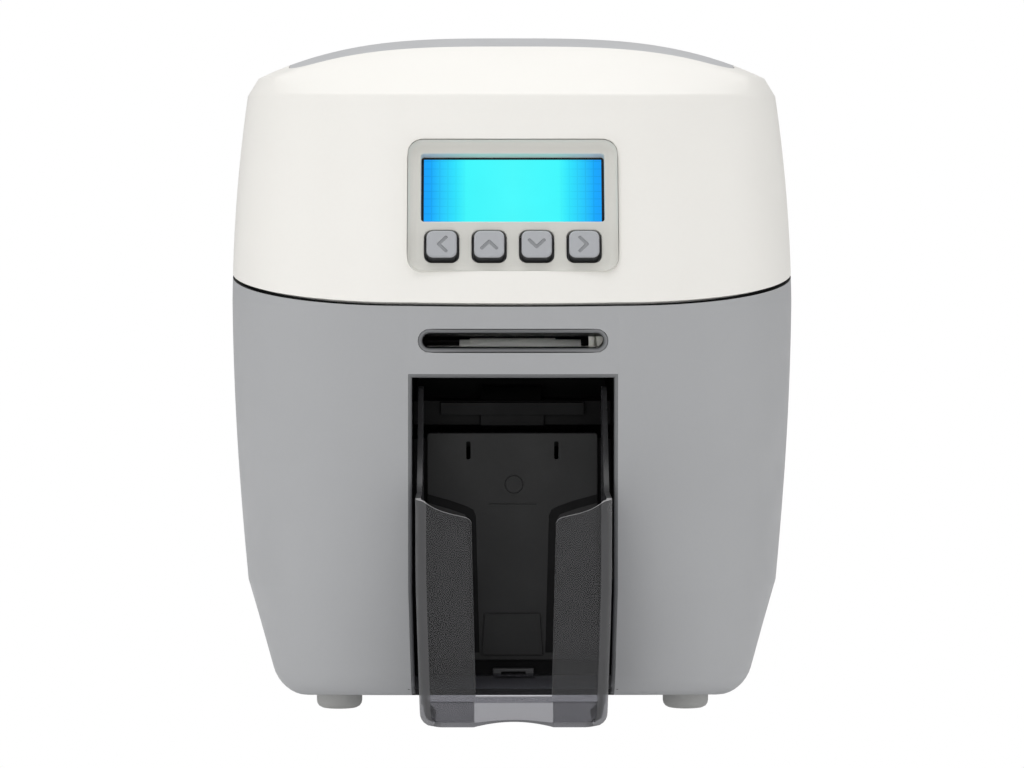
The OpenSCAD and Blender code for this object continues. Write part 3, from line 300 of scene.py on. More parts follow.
def round_corners(points, radii, n=5):
    """A closed outline with its corners rounded."""
    out = []
    m = len(points)
    for i in range(m):
        p, a, b = Vector(points[i]), Vector(points[i - 1]), Vector(points[(i + 1) % m])
        r = radii[i] if isinstance(radii, (list, tuple)) else radii
        if r <= 0:
            out.append(tuple(p))
            continue
        u, w = (a - p).normalized(), (b - p).normalized()
        half = math.acos(max(-1.0, min(1.0, u.dot(w)))) / 2
        d = min(r / math.tan(half), (a - p).length * 0.49, (b - p).length * 0.49)
        rr = d * math.tan(half)
        c = p + (u + w).normalized() * (rr / math.sin(half))
        s, e = p + u * d - c, p + w * d - c
        turn = s.angle_signed(e)
        for k in range(n + 1):
            q = Matrix.Rotation(-turn * k / n, 2) @ s
            out.append((c.x + q.x, c.y + q.y))
    return out


def area2(loop):
    return sum(a[0] * b[1] - b[0] * a[1] for a, b in zip(loop, loop[1:] + loop[:1]))


def inset(loop, d):
    """The outline moved inward by d (outward if d is negative)."""
    if area2(loop) < 0:
        d = -d
    out = []
    m = len(loop)
    for i in range(m):
        p, a, b = Vector(loop[i]), Vector(loop[i - 1]), Vector(loop[(i + 1) % m])
        e1, e2 = p - a, b - p
        if e1.length < 1e-9:
            e1 = p - Vector(loop[i - 2])
        if e2.length < 1e-9:
            e2 = Vector(loop[(i + 2) % m]) - p
        n1 = Vector((-e1.y, e1.x)).normalized()
        n2 = Vector((-e2.y, e2.x)).normalized()
        nn = (n1 + n2 if (n1 + n2).length > 1e-6 else n1).normalized()
        k = d / max(0.35, nn.dot(n1))
        out.append((p.x + nn.x * k, p.y + nn.y * k))
    return out


class Builder:
    """Collects loops in a local frame: x right, depth d inward, z up."""

    def __init__(self):
        self.v, self.f, self.m, self.flat = [], [], [], []

    def loop(self, pts, d):
        base = len(self.v)
        self.v += [(x, d(x, z) if callable(d) else d, z) for x, z in pts]
        return list(range(base, base + len(pts)))

    def strip(self, a, b, closed=True, mat=0):
        n = len(a)
        for i in range(n if closed else n - 1):
            j = (i + 1) % n
            self.f.append((a[i], a[j], b[j], b[i]))
            self.m.append(mat)
            self.flat.append(False)

    def strips(self, rings):
        for a, b in zip(rings, rings[1:]):
            self.strip(a, b)

    def cap(self, outer, holes=(), mat=0):
        polys = [[Vector((self.v[i][0], self.v[i][2], 0)) for i in outer]]
        polys += [[Vector((self.v[i][0], self.v[i][2], 0)) for i in h] for h in holes]
        index = list(outer) + [i for h in holes for i in h]
        for t in tessellate_polygon(polys):
            if len(set(t)) == 3:
                self.f.append(tuple(index[i] for i in t))
                self.m.append(mat)
                self.flat.append(True)

    def rounded(self, pts, d0, edge, outward=True, steps=3):
        """Loops over a rounded front edge; returns the front loop and the side loop at d0 + edge."""
        sign = 1.0 if outward else -1.0
        loops = []
        for k in range(steps + 1):
            a = math.pi / 2 * k / steps
            loops.append(self.loop(inset(pts, sign * edge * (1 - math.sin(a))), d0 + edge * (1 - math.cos(a))))
        self.strips(loops)
        return loops[0], loops[-1]

    def holes(self, outlines, d0, d1):
        """Walls of holes with rounded front edges; returns their front and their back loops."""
        fronts, backs = [], []
        for outline, edge in outlines:
            front, side = self.rounded(outline, d0, edge, False)
            backs.append(self.loop(outline, d1))
            self.strip(side, backs[-1])
            fronts.append(front)
        return fronts, backs

    def plate(self, outer, d0, d1, edge, holes=(), steps=3):
        """Flat piece with rounded front edges; each hole is (outline, edge)."""
        front_o, side_o = self.rounded(outer, d0, edge, True, steps)
        back_o = self.loop(outer, d1)
        self.strip(side_o, back_o)
        fronts, backs = self.holes(holes, d0, d1)
        self.cap(front_o, fronts)
        self.cap(back_o, backs)

    def groove(self, outline, width, depth, inner_d):
        """Ring cut into the front; returns its outer loop."""
        rows = [self.loop(inset(outline, width * k) if k else outline, d)
                for k, d in ((0, 0.0), (0.25, depth), (0.75, depth), (1, inner_d))]
        self.strips(rows)
        self.cap(rows[-1])
        return rows[0]

    def piece(self, name, body, slot, mats, replaces=(), place=None, **kw):
        """Piece of what was collected; place turns a local point into a point in mm."""
        verts = [place(*p) for p in self.v] if place else self.v
        return soften(make_object(name, verts, self.f, body, slot, mats, replaces, self.m, flat=self.flat, **kw))


def lean_world(v_up, x=0.0):
    """World matrix of a piece drawn about a point of the lid's leaning front."""
    p = Vector((x, Y_FRONT, SEAM_Z)) + Vector((0, SIN_L, COS_L)) * v_up
    return Matrix.Translation(p * MM) @ Matrix.Rotation(-LEAN_A, 4, "X")


# ---------------------------------------------------------------- materials
def new_material(name):
    m = bpy.data.materials.new(name)
    m.use_nodes = True
    nt = m.node_tree
    nt.nodes.clear()
    return m, nt, nt.nodes.new("ShaderNodeOutputMaterial")


def add_node(nt, kind, inputs=(), output=0, **settings):
    """Output of a new shader node; an input, by name or number, is a value or another node's output."""
    n = nt.nodes.new("ShaderNode" + kind)
    for key, value in settings.items():
        setattr(n, key, value)
    for key, value in dict(inputs).items():
        if isinstance(value, bpy.types.NodeSocket):
            nt.links.new(value, n.inputs[key])
        else:
            n.inputs[key].default_value = value
    return n.outputs[output]


def object_coord(nt):
    return add_node(nt, "TexCoord", output="Object")


def noise_node(nt, coord, scale, detail=3.0, rough=0.5):
    return add_node(nt, "TexNoise", {"Vector": coord, "Scale": scale, "Detail": detail, "Roughness": rough}, "Fac")


def map_range(nt, value, lo, hi, out_lo, out_hi):
    return add_node(nt, "MapRange", {"Value": value, "From Min": lo, "From Max": hi, "To Min": out_lo,
                                     "To Max": out_hi}, "Result")


def ramp_node(nt, fac, stops):
    """Colour over the stops, each (position, colour)."""
    out = add_node(nt, "ValToRGB", {"Fac": fac}, "Color")
    els = out.node.color_ramp.elements
    for e, (pos, color) in ((els[0], stops[0]), (els[1], stops[-1])):
        e.position = pos
        e.color = (*color, 1.0)
    for pos, color in stops[1:-1]:
        els.new(pos).color = (*color, 1.0)
    return out


def bump_node(nt, height, strength, depth):
    return add_node(nt, "Bump", {"Height": height, "Strength": strength, "Distance": depth * MM}, "Normal")


def finish_material(m, nt, out, shader):
    nt.links.new(shader, out.inputs["Surface"])
    return m


def surface(name, color, rough, vary, grain, bump, metal=0.0, rough_vary=0.08, specular=0.5, coat=0.0, stretch=None):
    """Moulded or metal finish: colour drift, roughness drift and a fine grain in the normals."""
    m, nt, out = new_material(name)
    coord = object_coord(nt)
    if stretch:
        coord = add_node(nt, "Mapping", {"Vector": coord, "Scale": stretch})
    fine = map_range(nt, noise_node(nt, coord, grain * 0.55, 4.0, 0.6), 0.3, 0.7, -0.12, 0.12)
    drift = add_node(nt, "Math", {0: noise_node(nt, coord, 14.0, 2.0), 1: fine}, operation="ADD")
    mid = noise_node(nt, coord, 60.0)
    return finish_material(m, nt, out, add_node(nt, "BsdfPrincipled", {
        "Base Color": ramp_node(nt, drift, [(0.3, [c * (1 - vary) for c in color]),
                                            (0.7, [min(1.0, c * (1 + vary)) for c in color])]),
        "Metallic": metal,
        "Roughness": map_range(nt, mid, 0.25, 0.75, max(0.02, rough - rough_vary), min(1.0, rough + rough_vary)),
        "Specular IOR Level": specular,
        "Coat Weight": coat,
        "Coat Roughness": 0.15,
        "Normal": bump_node(nt, noise_node(nt, coord, grain, 2.0), bump, GRAIN_MM)}))


def smoke_plastic(name, color, clear):
    """Tinted plastic: part of the light passes straight through each face."""
    m, nt, out = new_material(name)
    coord = object_coord(nt)
    tint = ramp_node(nt, noise_node(nt, coord, 22.0, 2.0),
                     [(0.3, [c * 0.92 for c in color]), (0.7, [c * 1.08 for c in color])])
    rough = map_range(nt, noise_node(nt, coord, 90.0), 0.25, 0.75, 0.24, 0.39)
    solid = add_node(nt, "BsdfPrincipled", {"Base Color": tint, "Roughness": rough})
    passed = add_node(nt, "BsdfTransparent", {"Color": (0.97, 0.97, 1.0, 1.0)})
    return finish_material(m, nt, out, add_node(nt, "MixShader", {"Fac": clear, 1: solid, 2: passed}))


def display_material(name):
    """Backlit panel: cyan middle, blue ends, a faint grid of dots and a dark border."""
    m, nt, out = new_material(name)
    coord = object_coord(nt)
    sep = add_node(nt, "SeparateXYZ", {0: coord}).node.outputs
    # Half-width and half-height of the panel, its dark border and the pitch of its dots
    half_w, half_h, border, dot = (v * MM for v in (LCD_W / 2 + 0.2, LCD_H / 2 + 0.3, 1.2, 3.1))

    def calc(op, *values, **kw):
        return add_node(nt, "Math", dict(enumerate(values)), operation=op, **kw)

    ax, az = calc("ABSOLUTE", sep["X"]), calc("ABSOLUTE", sep["Z"])
    u = calc("DIVIDE", ax, half_w)
    color = ramp_node(nt, u, [(0.0, (0.075, 0.97, 1.0)), (0.5, (0.06, 0.95, 1.0)), (0.62, (0.035, 0.78, 1.0)),
                              (0.78, (0.025, 0.58, 1.0)), (0.9, (0.013, 0.40, 1.0)), (1.0, (0.016, 0.36, 1.0))])
    cells = []
    for axis in ("X", "Z"):
        part = calc("FRACT", calc("MULTIPLY", sep[axis], 1.0 / dot))
        cells.append(calc("GREATER_THAN", calc("ABSOLUTE", calc("SUBTRACT", part, 0.5)), 0.44))
    ends = calc("MULTIPLY", calc("SUBTRACT", u, 0.45, use_clamp=True), 0.28)
    dots = calc("MULTIPLY", calc("MAXIMUM", *cells), ends)
    cloud = noise_node(nt, coord, 60.0, 2.0)
    gain = calc("SUBTRACT", 1.0, calc("ADD", dots, map_range(nt, cloud, 0.3, 0.7, 0.0, 0.03)))
    lit = calc("MULTIPLY", calc("LESS_THAN", ax, half_w - border), calc("LESS_THAN", az, half_h - border))
    frame_part = add_node(nt, "BsdfPrincipled", {
        "Base Color": (0.01, 0.01, 0.012, 1.0),
        "Roughness": map_range(nt, cloud, 0.3, 0.7, 0.12, 0.2),
        "Normal": bump_node(nt, noise_node(nt, coord, 800.0), 0.03, 0.01)})
    glow = add_node(nt, "Emission", {"Color": color, "Strength": gain})
    return finish_material(m, nt, out, add_node(nt, "MixShader", {"Fac": lit, 1: frame_part, 2: glow}))


def srgb(r, g, b):
    return tuple(((c / 255 + 0.055) / 1.055) ** 2.4 if c > 10 else c / 255 / 12.92 for c in (r, g, b))


# Moulded finishes: colour from 0 to 255, roughness, colour drift, fineness and strength of the grain; four rows are
# darker copies that paint shade on rims, key sides, key marks and cut edges
MOULDED = {
    "body_grey": (168, 169, 171, 0.55, 0.012, 1400, 0.25),
    "lid_white": (240, 238, 233, 0.42, 0.008, 1400, 0.15),
    "bezel_white": (210, 209, 203, 0.45, 0.01, 1500, 0.15),
    "inlay_grey": (190, 191, 193, 0.4, 0.012, 1200, 0.15),
    # Darker grey for the rounded rims of the bay and the slot: painted shade.
    "rim_grey": (118, 119, 121, 0.5, 0.02, 1200, 0.2),
    "key_grey": (170, 172, 176, 0.5, 0.02, 1400, 0.2),
    # Darker grey for the keys' debossed marks: painted shade in the recess.
    "key_mark_painted_shade": (143, 145, 148, 0.55, 0.02, 1400, 0.2),
    # Dark grey for the keys' side walls: painted shade.
    "key_side_painted_shade": (62, 63, 65, 0.55, 0.03, 1400, 0.2),
    # Near-black for the body shell's cut edges at the seam and the openings: painted shade.
    "edge_painted_shade": (24, 24, 25, 0.6, 0.05, 1200, 0.2),
    "sill_grey": (84, 84, 85, 0.4, 0.05, 1200, 0.2),
    "rubber_grey": (184, 184, 182, 0.6, 0.05, 800, 0.3),
    "rubber_black": (40, 40, 40, 0.7, 0.1, 700, 0.4),
    "rubber_pale": (232, 232, 228, 0.6, 0.04, 800, 0.3),
    "pale_plastic": (226, 226, 218, 0.5, 0.03, 900, 0.2),
    "rubber_blue": (52, 92, 168, 0.5, 0.06, 800, 0.2),
    "chip_black": (34, 34, 36, 0.5, 0.1, 700, 0.2),
    "lcd_cyan": (90, 190, 215, 0.3, 0.03, 500, 0.1),
    "ceramic": (222, 214, 196, 0.25, 0.05, 500, 0.1),
}
M = {name: surface(name, srgb(*v[:3]), *v[3:]) for name, v in MOULDED.items()}
# Smoked plastics: colour and the share of light that passes; the third is a lighter, nearly opaque copy that paints
# highlights on the stacker's upper edges, the fourth a darker, less clear copy that paints shade on its rounded
# corners and on the sides' upper edges
for name, color, clear in (("smoke_plastic", (0.028, 0.028, 0.029), 0.54), ("smoke_thin", (0.04, 0.04, 0.041), 0.72),
                           ("smoke_rim", (0.48, 0.48, 0.485), 0.1), ("smoke_edge", (0.075, 0.075, 0.078), 0.25)):
    M[name] = smoke_plastic(name, color, clear)
STEEL, ALUMINIUM, BRASS = (0.62, 0.63, 0.65), (0.78, 0.79, 0.80), (0.78, 0.6, 0.28)
for name, color, values, more in (
        ("black_plastic", srgb(16, 16, 17), (0.5, 0.1, 900, 0.2), {"specular": 0.16}),
        ("door_black", srgb(60, 60, 60), (0.5, 0.04, 1000, 0.2), {"specular": 0.2}),
        ("pcb_green", srgb(28, 92, 58), (0.35, 0.12, 300, 0.3), {"coat": 0.3}),
        ("clear_window", srgb(180, 225, 240), (0.08, 0.02, 500, 0.02), {"coat": 0.5}),
        ("film_dark", srgb(66, 52, 104), (0.2, 0.15, 300, 0.1), {"coat": 0.6, "stretch": (0.2, 1.0, 1.0)}),
        ("steel", STEEL, (0.34, 0.05, 500, 0.12, 1.0), {"rough_vary": 0.1, "stretch": (1.0, 0.12, 1.0)}),
        ("aluminium", ALUMINIUM, (0.38, 0.04, 600, 0.12, 1.0), {"stretch": (0.15, 1.0, 1.0)}),
        ("brass", BRASS, (0.3, 0.06, 500, 0.1, 1.0), {})):
    M[name] = surface(name, color, *values, **more)
M["display_glow"] = display_material("display_glow")


# ---------------------------------------------------------------- body shell
def body_top(y):
    """Height of the body's upper edge at depth y."""
    z = seam_at(y) - SEAM_GAP / 2
    cut = SKIRT_R + 0.6
    if y > HINGE_Y + SKIRT_R / 2:
        return HINGE_Z - SKIRT_R + 0.5
    if abs(y - HINGE_Y) < cut:
        z = min(z, HINGE_Z - math.sqrt(cut ** 2 - (y - HINGE_Y) ** 2))
    return z


def settle(z, height):
    """Height that height(z) gives back, found in steps from z."""
    for _ in range(12):
        z = height(z)
    return z


def column_top(col, top):
    """Height at which a column meets the edge whose height at depth y is top(y)."""
    return settle(SEAM_START, lambda z: top(plan_point(col, z, BAY_EDGE)[1]))


def skirt_drop(y, z):
    """How far the lower edge falls behind the front face."""
    f = unit((y - Y_FRONT - 3.0) / 42.0) * unit((Y_REAR - 12.0 - y) / 60.0)
    return DROP * ease(f) * unit((BREAK_Z - z) / (BREAK_Z - BASE_Z)) ** 2


def build_body():
    n_mid, n_top, patch_h, near = 12, 10, 6.4, 0.8
    cols = both_sides(half_columns(n_mid, 2))
    n = len(cols)
    # Heights of the rows: rounded base edge, lower wall, upper wall and the band of the hand feed slot
    fixed = [BASE_Z + EDGE_R * (1 - math.cos(math.pi / 2 * i / 8)) for i in range(9)]
    fixed += spread(BASE_Z + EDGE_R, BREAK_Z - near, 5) + [BREAK_Z, BREAK_Z + near]
    fixed += spread(BREAK_Z + near, BAY_TOP + RIM, 9)
    k_s0 = len(fixed)
    fixed += [SLOT_Z - patch_h] + spread(SLOT_Z - patch_h, SLOT_Z + patch_h, 6)
    k_s1 = len(fixed) - 1
    tops = [column_top(c, body_top) for c, s in cols]
    verts, grid = [], []
    for k in range(len(fixed) + n_top):
        line = []
        for (c, s), top in zip(cols, tops):
            z = fixed[k] if k <= k_s1 else fixed[-1] + (top - fixed[-1]) * (k - k_s1) / n_top
            x, y = plan_point(c, z, bay_half_at(z, RIM))
            line.append((s * x, y, z - skirt_drop(y, z)))
        grid.append(add_row(verts, line))
    front = set(range(n_mid)) | set(range(n - n_mid, n))
    rear = {i for i, (c, s) in enumerate(cols) if c[0] == "back" or (c[0] == "rear" and c[1] > math.pi / 2 - 1e-6)}

    def is_open(k, i):
        """The bay, the band of the slot and the opening of the rear panel."""
        j = (i + 1) % n
        if i in front:
            return k < k_s0 - 1 or k_s0 <= k < k_s1
        if i in rear and j in rear:
            a, b, c = verts[grid[k][i]], verts[grid[k][j]], verts[grid[k + 1][i]]
            return (abs(a[0]) + abs(b[0])) / 2 < PANEL_HALF and PANEL_LOW < (a[2] + c[2]) / 2 < PANEL_TOP
        return False

    faces = []
    join_rows(faces, grid, skip=is_open)
    # Patch with the hand feed slot
    rings = [window_ring(grid, n_mid, k_s0, k_s1)]
    hw, hh = (SLOT_W + 3.2) / 2, (SLOT_H + 3.2) / 2
    for f in (0.35, 0.7, 1.0):
        line = []
        for x, y, z in [verts[i] for i in rings[0]]:
            px, pz = x / BAY_EDGE * hw, (z - SLOT_Z) / patch_h * hh
            if abs(px) > hw - hh:
                v = Vector((abs(px) - (hw - hh), pz))
                v = v.normalized() * hh if v.length > 1e-6 else Vector((hh, 0))
                px, pz = math.copysign(hw - hh + v.x, px), v.y
            qx = x + (px - x) * f
            line.append((qx, Y_FRONT + bow_at(qx), z + (SLOT_Z + pz - z) * f))
        rings.append(add_row(verts, line))
    join_rows(faces, rings)
    # Underside, open at the bay
    low = grid[0][n_mid:n - n_mid + 1]
    centre = add_row(verts, [(0.0, 20.0, BASE_Z - 0.7)])[0]
    faces += [(a, b, centre) for a, b in zip(low, low[1:] + low[:1])]
    o = make_object("body_casing", verts, faces, "root", "body_grey", ["body_grey", "edge_painted_shade"],
                    ["body_shell", "front_bridge"])
    # The wall's cut edges take the near-black copy: painted shade at the seam and the openings.
    thicken(o, SHELL_T).material_offset_rim = 1
    soften(o, 0.35)


build_body()


def strip_object(name, loops, body, slot, mats):
    """Open strip through loops of points."""
    verts, faces = [], []
    join_rows(faces, [add_row(verts, loop) for loop in loops], False)
    return make_object(name, verts, faces, body, slot, mats)


def bay_loop(grow, depth):
    """Outline of the bay's opening on the bowed front, depth further in."""
    top = BAY_TOP + grow
    zs = [BAY_LOW] + spread(BAY_LOW, BREAK_Z, 10) + spread(BREAK_Z, top, 14)
    pts = [(-bay_half_at(z, grow), z) for z in zs]
    pts += [((BAY_HALF + grow) * (2 * i / 24 - 1), top) for i in range(1, 24)]
    pts += [(bay_half_at(z, grow), z) for z in reversed(zs)]
    return [(x, Y_FRONT + bow_at(x) + depth + (edge_in(z) if depth < 3 else 0), z) for x, z in pts]


RIM_ROWS = ((RIM, 0.0), (RIM * 0.72, 0.12), (RIM * 0.3, 0.5), (0.0, 1.3), (0.0, 3.2))
# Rounded rim round the bay in the darker grey: painted shade of the fillet.
strip_object("bay_rim", [bay_loop(grow, depth) for grow, depth in RIM_ROWS], "root", "body_grey", "rim_grey")

# Hand feed guide: rounded rim and a throat whose roof falls inward; the rim's darker grey is painted shade
b = Builder()
rings = [b.loop(stadium(SLOT_W + grow, SLOT_H + grow), lambda x, z: bow_at(x) + depth)
         for grow, depth in ((3.1, 2.4), (3.1, 0.15), (2.3, 0.02), (1.0, 0.35), (0.25, 1.0), (0.0, 1.9))]
rings.append(b.loop([(x, min(z, 1.0)) for x, z in stadium(SLOT_W, SLOT_H)], THROAT_D))
rings.append(b.loop(stadium(SLOT_W + 3.1, SLOT_H + 3.1), THROAT_D))
for k, (inner, outer) in enumerate(zip(rings, rings[1:] + rings[:1])):
    b.strip(inner, outer, mat=int(k > 4))
b.piece("feed_guide", "root", "black_plastic", ["rim_grey", "black_plastic"], ["hand_feed_guide"],
        lambda x, d, z: (x, Y_FRONT + d, SLOT_Z + z))


# ---------------------------------------------------------------- lid
def lid_bottom(y):
    if y > HINGE_Y:
        if y - HINGE_Y < SKIRT_R * math.cos(SKIRT_A):
            return HINGE_Z - (y - HINGE_Y) * math.tan(SKIRT_A)
        return HINGE_Z - math.sqrt(max(0.0, SKIRT_R ** 2 - min(SKIRT_R, y - HINGE_Y) ** 2))
    return seam_at(y) + SEAM_GAP / 2


def crown(y):
    if y < CROWN_Y:
        return CASE_H - (CASE_H - HOOD_Z) * ((CROWN_Y - y) / (CROWN_Y - HOOD_Y)) ** 3
    if y > SAG_Y:
        return SAG_Z - (y - SAG_Y) * (SAG_Z - SAG_END) / (Y_REAR - 6 - SAG_Y)
    return CASE_H - CROWN_FALL * ((y - CROWN_Y) / (Y_REAR - CROWN_Y)) ** 2


def shoulder(y):
    if y < CROWN_Y:
        return SHOULDER_Z
    return SHOULDER_Z - SHOULDER_FALL * ((y - CROWN_Y) / (Y_REAR - CROWN_Y)) ** 2


# Corners of the crease outline: front radius and centre, rear radius and centre
CR = CORNER_R - CREASE_IN
CYC = Y_FRONT + LEAN + BOW + CR
RR = REAR_R - CREASE_IN
XRC, YRC = HALF_W - CREASE_IN - RR, Y_REAR - RR
SHOULDER_H, REAR_LIP, LIP_H, LIP_L, TOP_HALF = 7.0, 223.5, 12.0, 9.0, 104.1


def half_at(y):
    """Half-width of the lid's crease outline at depth y."""
    if y < CYC:
        d = min(CR, CYC - y)
        return FLAT_HALF + math.sqrt(max(0.0, CR ** 2 - d ** 2))
    if y > YRC:
        return XRC + math.sqrt(max(0.0, RR ** 2 - (min(y, Y_REAR) - YRC) ** 2))
    return FLAT_HALF + CR


def front_y(x):
    x = abs(x)
    if x <= FLAT_HALF:
        return Y_FRONT + LEAN + bow_at(x)
    return CYC - math.sqrt(max(0.0, CR ** 2 - min(CR, x - FLAT_HALF) ** 2))


def rear_y(x):
    x = abs(x)
    if x <= XRC:
        return Y_REAR
    return YRC + math.sqrt(max(0.0, RR ** 2 - min(RR, x - XRC) ** 2))


def arch_z(x, y):
    x = abs(x)
    w = half_at(y)
    s, c = shoulder(y), crown(y)
    x1 = w - SHOULDER_IN
    if x <= x1:
        return s + (c - s) * (1 - (x / x1) ** ARCH_POWER)
    return s - SHOULDER_H * min(1.0, (x - x1) / SHOULDER_IN)


def top_z(x, y):
    """Height of the lid's upper surface."""
    if y < HOOD_Y:
        y0 = front_y(x)
        zh = arch_z(x, HOOD_Y)
        return CREASE_Z + unit((y - y0) / max(0.5, HOOD_Y - y0)) * (zh - CREASE_Z)
    z = arch_z(x, y)
    d = (rear_y(x) - y) / LIP_L
    if y > CYC and d < 1.0:
        z = min(z, REAR_LIP + LIP_H * math.sqrt(1 - (1 - max(0.0, d)) ** 2))
    return z


INLAY_W, INLAY_L, INLAY_R, INLAY_FIT = 176.0, 250.0, 12.0, 0.15
INLAY_YC = HOOD_Y + 1 + INLAY_L / 2
PATCH_X, PATCH_UP = 44.0, 31.0


def to_corner(x, y, hx, hy, r):
    """A point on the edge of a rectangle, moved in where the rectangle's corner is rounded."""
    if abs(x) > hx - r and abs(y) > hy - r:
        v = Vector((abs(x) - (hx - r), abs(y) - (hy - r))).normalized() * r
        x, y = math.copysign(hx - r + v.x, x), math.copysign(hy - r + v.y, y)
    return x, y


def on_inlay_edge(x, y):
    """Point on the edge of the inlay's recess that belongs to a plan point round it."""
    hx, hy = INLAY_W / 2 + INLAY_FIT, INLAY_L / 2 + INLAY_FIT
    yy = y - INLAY_YC
    ux, uy = x / TOP_HALF, (yy / (INLAY_YC - front_y(0)) if yy < 0 else yy / (Y_REAR - INLAY_YC))
    m = max(abs(ux), abs(uy), 1e-6)
    px, py = to_corner(ux / m * hx, uy / m * hy, hx, hy, INLAY_R)
    return px, INLAY_YC + py


def build_lid():
    n_mid, n_skirt, n_win = 16, 8, 14
    # The patch round the console reaches a little round the corner
    a0 = math.asin((PATCH_X - FLAT_HALF) / CORNER_R)
    half = [("x", PATCH_X * i / n_mid) for i in range(n_mid + 1)]
    half += [("arc", a - math.pi / 2) for a in spread(a0, math.pi / 2, 44)]
    half += [("side", t) for t in spread(0, 1, 40)]
    half += [("rear", a) for a in spread(0, math.pi / 2, 30)]
    half += [("back", t) for t in spread(0, 1, 16)]
    cols = both_sides(half)
    n = len(cols)

    def point(col, z):
        if col[0] != "x":
            return plan_point(col, z)
        x = col[1]
        if x <= FLAT_HALF:
            return x, Y_FRONT + front_in(z) + bow_at(x)
        r = CORNER_R - side_in(z)
        return x, Y_FRONT + front_in(z) + BOW + r - math.sqrt(r ** 2 - (x - FLAT_HALF) ** 2)

    def crease(col):
        if col[0] == "back":
            return REAR_LIP
        if col[0] == "rear":
            z = shoulder(point(col, 225.0)[1]) - SHOULDER_H
            return min(z, top_z(*point(col, z)))
        y = point(col, 235.0)[1]
        return CREASE_Z if y < CROWN_Y else shoulder(y) - SHOULDER_H

    bottoms = [settle(LID_START, lambda z: lid_bottom(point(c, z)[1])) for c, s in cols]
    creases = [crease(c) for c, s in cols]
    verts, grid = [], []
    # The rounded skirt below the hinge line comes first, then the wall
    for k in range(n_skirt, 0, -1):
        line = []
        for (c, s), z in zip(cols, bottoms):
            x, y = point(c, z)
            if y - HINGE_Y > SKIRT_R * 0.5:
                a = math.acos(min(1.0, (y - HINGE_Y) / SKIRT_R))
                a += (SKIRT_A - a) * k / n_skirt
                y, z = HINGE_Y + SKIRT_R * math.cos(a), HINGE_Z - SKIRT_R * math.sin(a)
            line.append((s * x, y, z))
        grid.append(add_row(verts, line))
    low, win0, win1 = SEAM_Z + SEAM_GAP / 2, SEAM_Z + (CUP - PATCH_UP) * COS_L, SEAM_Z + (CUP + PATCH_UP) * COS_L
    z_list = [low, low + 2.5] + spread(low + 2.5, win0, 2)
    k_c0 = n_skirt + len(z_list) - 1
    z_list += spread(win0, win1, n_win) + spread(win1, CREASE_Z - 1.0, 4) + [CREASE_Z]
    for row_z in z_list:
        f = (row_z - low) / (CREASE_Z - low)
        line = []
        for (c, s), z0, z1 in zip(cols, bottoms, creases):
            z = z0 + (z1 - z0) * f
            x, y = point(c, z)
            if y > HINGE_Y + SKIRT_R - 0.05 and z <= HINGE_Z:
                y = HINGE_Y + SKIRT_R
            line.append((s * x, y, z))
        grid.append(add_row(verts, line))
    faces = []
    join_rows(faces, grid, skip=lambda k, i: (i < n_mid or i >= n - n_mid) and k_c0 <= k < k_c0 + n_win)
    # Patch with the console's recess
    rings = [window_ring(grid, n_mid, k_c0, k_c0 + n_win)]
    hw, hh = CW / 2, CH / 2
    for f in (0.3, 0.65, 0.88, 1.0):
        line = []
        for x, y, z in [verts[i] for i in rings[0]]:
            up = (z - SEAM_Z) / COS_L - CUP
            u, w = max(-1, min(1, x / PATCH_X)), max(-1, min(1, up / PATCH_UP))
            px, pw = to_corner(u * hw, w * hh, hw, hh, CRAD)
            qx, qz = x + (px - x) * f, SEAM_Z + (CUP + up + (pw - up) * f) * COS_L
            line.append((qx, point(("x", abs(qx)), qz)[1], qz))
        rings.append(add_row(verts, line))
    join_rows(faces, rings)
    # Top, from the crease to the inlay's recess
    rows = [grid[-1]]
    edge = [verts[i] for i in rows[0]]
    for f in (0.8 / SHOULDER_IN, 0.4, 0.7, 1.0):
        line = []
        for i, (x, y, z) in enumerate(edge):
            a, b = edge[i - 1], edge[(i + 1) % n]
            t = Vector((b[0] - a[0], b[1] - a[1])).normalized()
            x, y = x - t.y * SHOULDER_IN * f, y + t.x * SHOULDER_IN * f
            line.append((x, y, top_z(x, y)))
        rows.append(add_row(verts, line))
    edge = [verts[i][:2] for i in rows[-1]]
    hole = [on_inlay_edge(x, y) for x, y in edge]
    for f in (0.06, 0.15, 0.28, 0.42, 0.56, 0.7, 0.84, 1.0):
        line = [(x + (hx - x) * f, y + (hy - y) * f) for (x, y), (hx, hy) in zip(edge, hole)]
        rows.append(add_row(verts, [(x, y, top_z(x, y)) for x, y in line]))
    join_rows(faces, rows)
    o = make_object("lid_casing", verts, faces, "lid", "lid_white", "lid_white", ["lid_shell"])
    thicken(o, SHELL_T, False)
    soften(o, 0.35, angle=50.0)


build_lid()


def inlay_grid(grow, drop, nx=40, ny=56):
    """Rounded rectangle laid on the lid's upper surface, lowered by drop."""
    verts, faces = [], []
    hx, hy, r = INLAY_W / 2 + grow, INLAY_L / 2 + grow, INLAY_R + grow
    for j in range(ny + 1):
        for i in range(nx + 1):
            x, y = hx * (2 * i / nx - 1), hy * (2 * j / ny - 1)
            a, c = abs(x) - (hx - r), abs(y) - (hy - r)
            if a > 0 and c > 0:
                m, ln = max(a, c), math.hypot(a, c)
                x = math.copysign(hx - r + a * m / ln, x)
                y = math.copysign(hy - r + c * m / ln, y)
            y += INLAY_YC
            verts.append((x, y, top_z(x, y) - drop))
    for j in range(ny):
        for i in range(nx):
            a = j * (nx + 1) + i
            faces.append((a, a + 1, a + nx + 2, a + nx + 1))
    return verts, faces


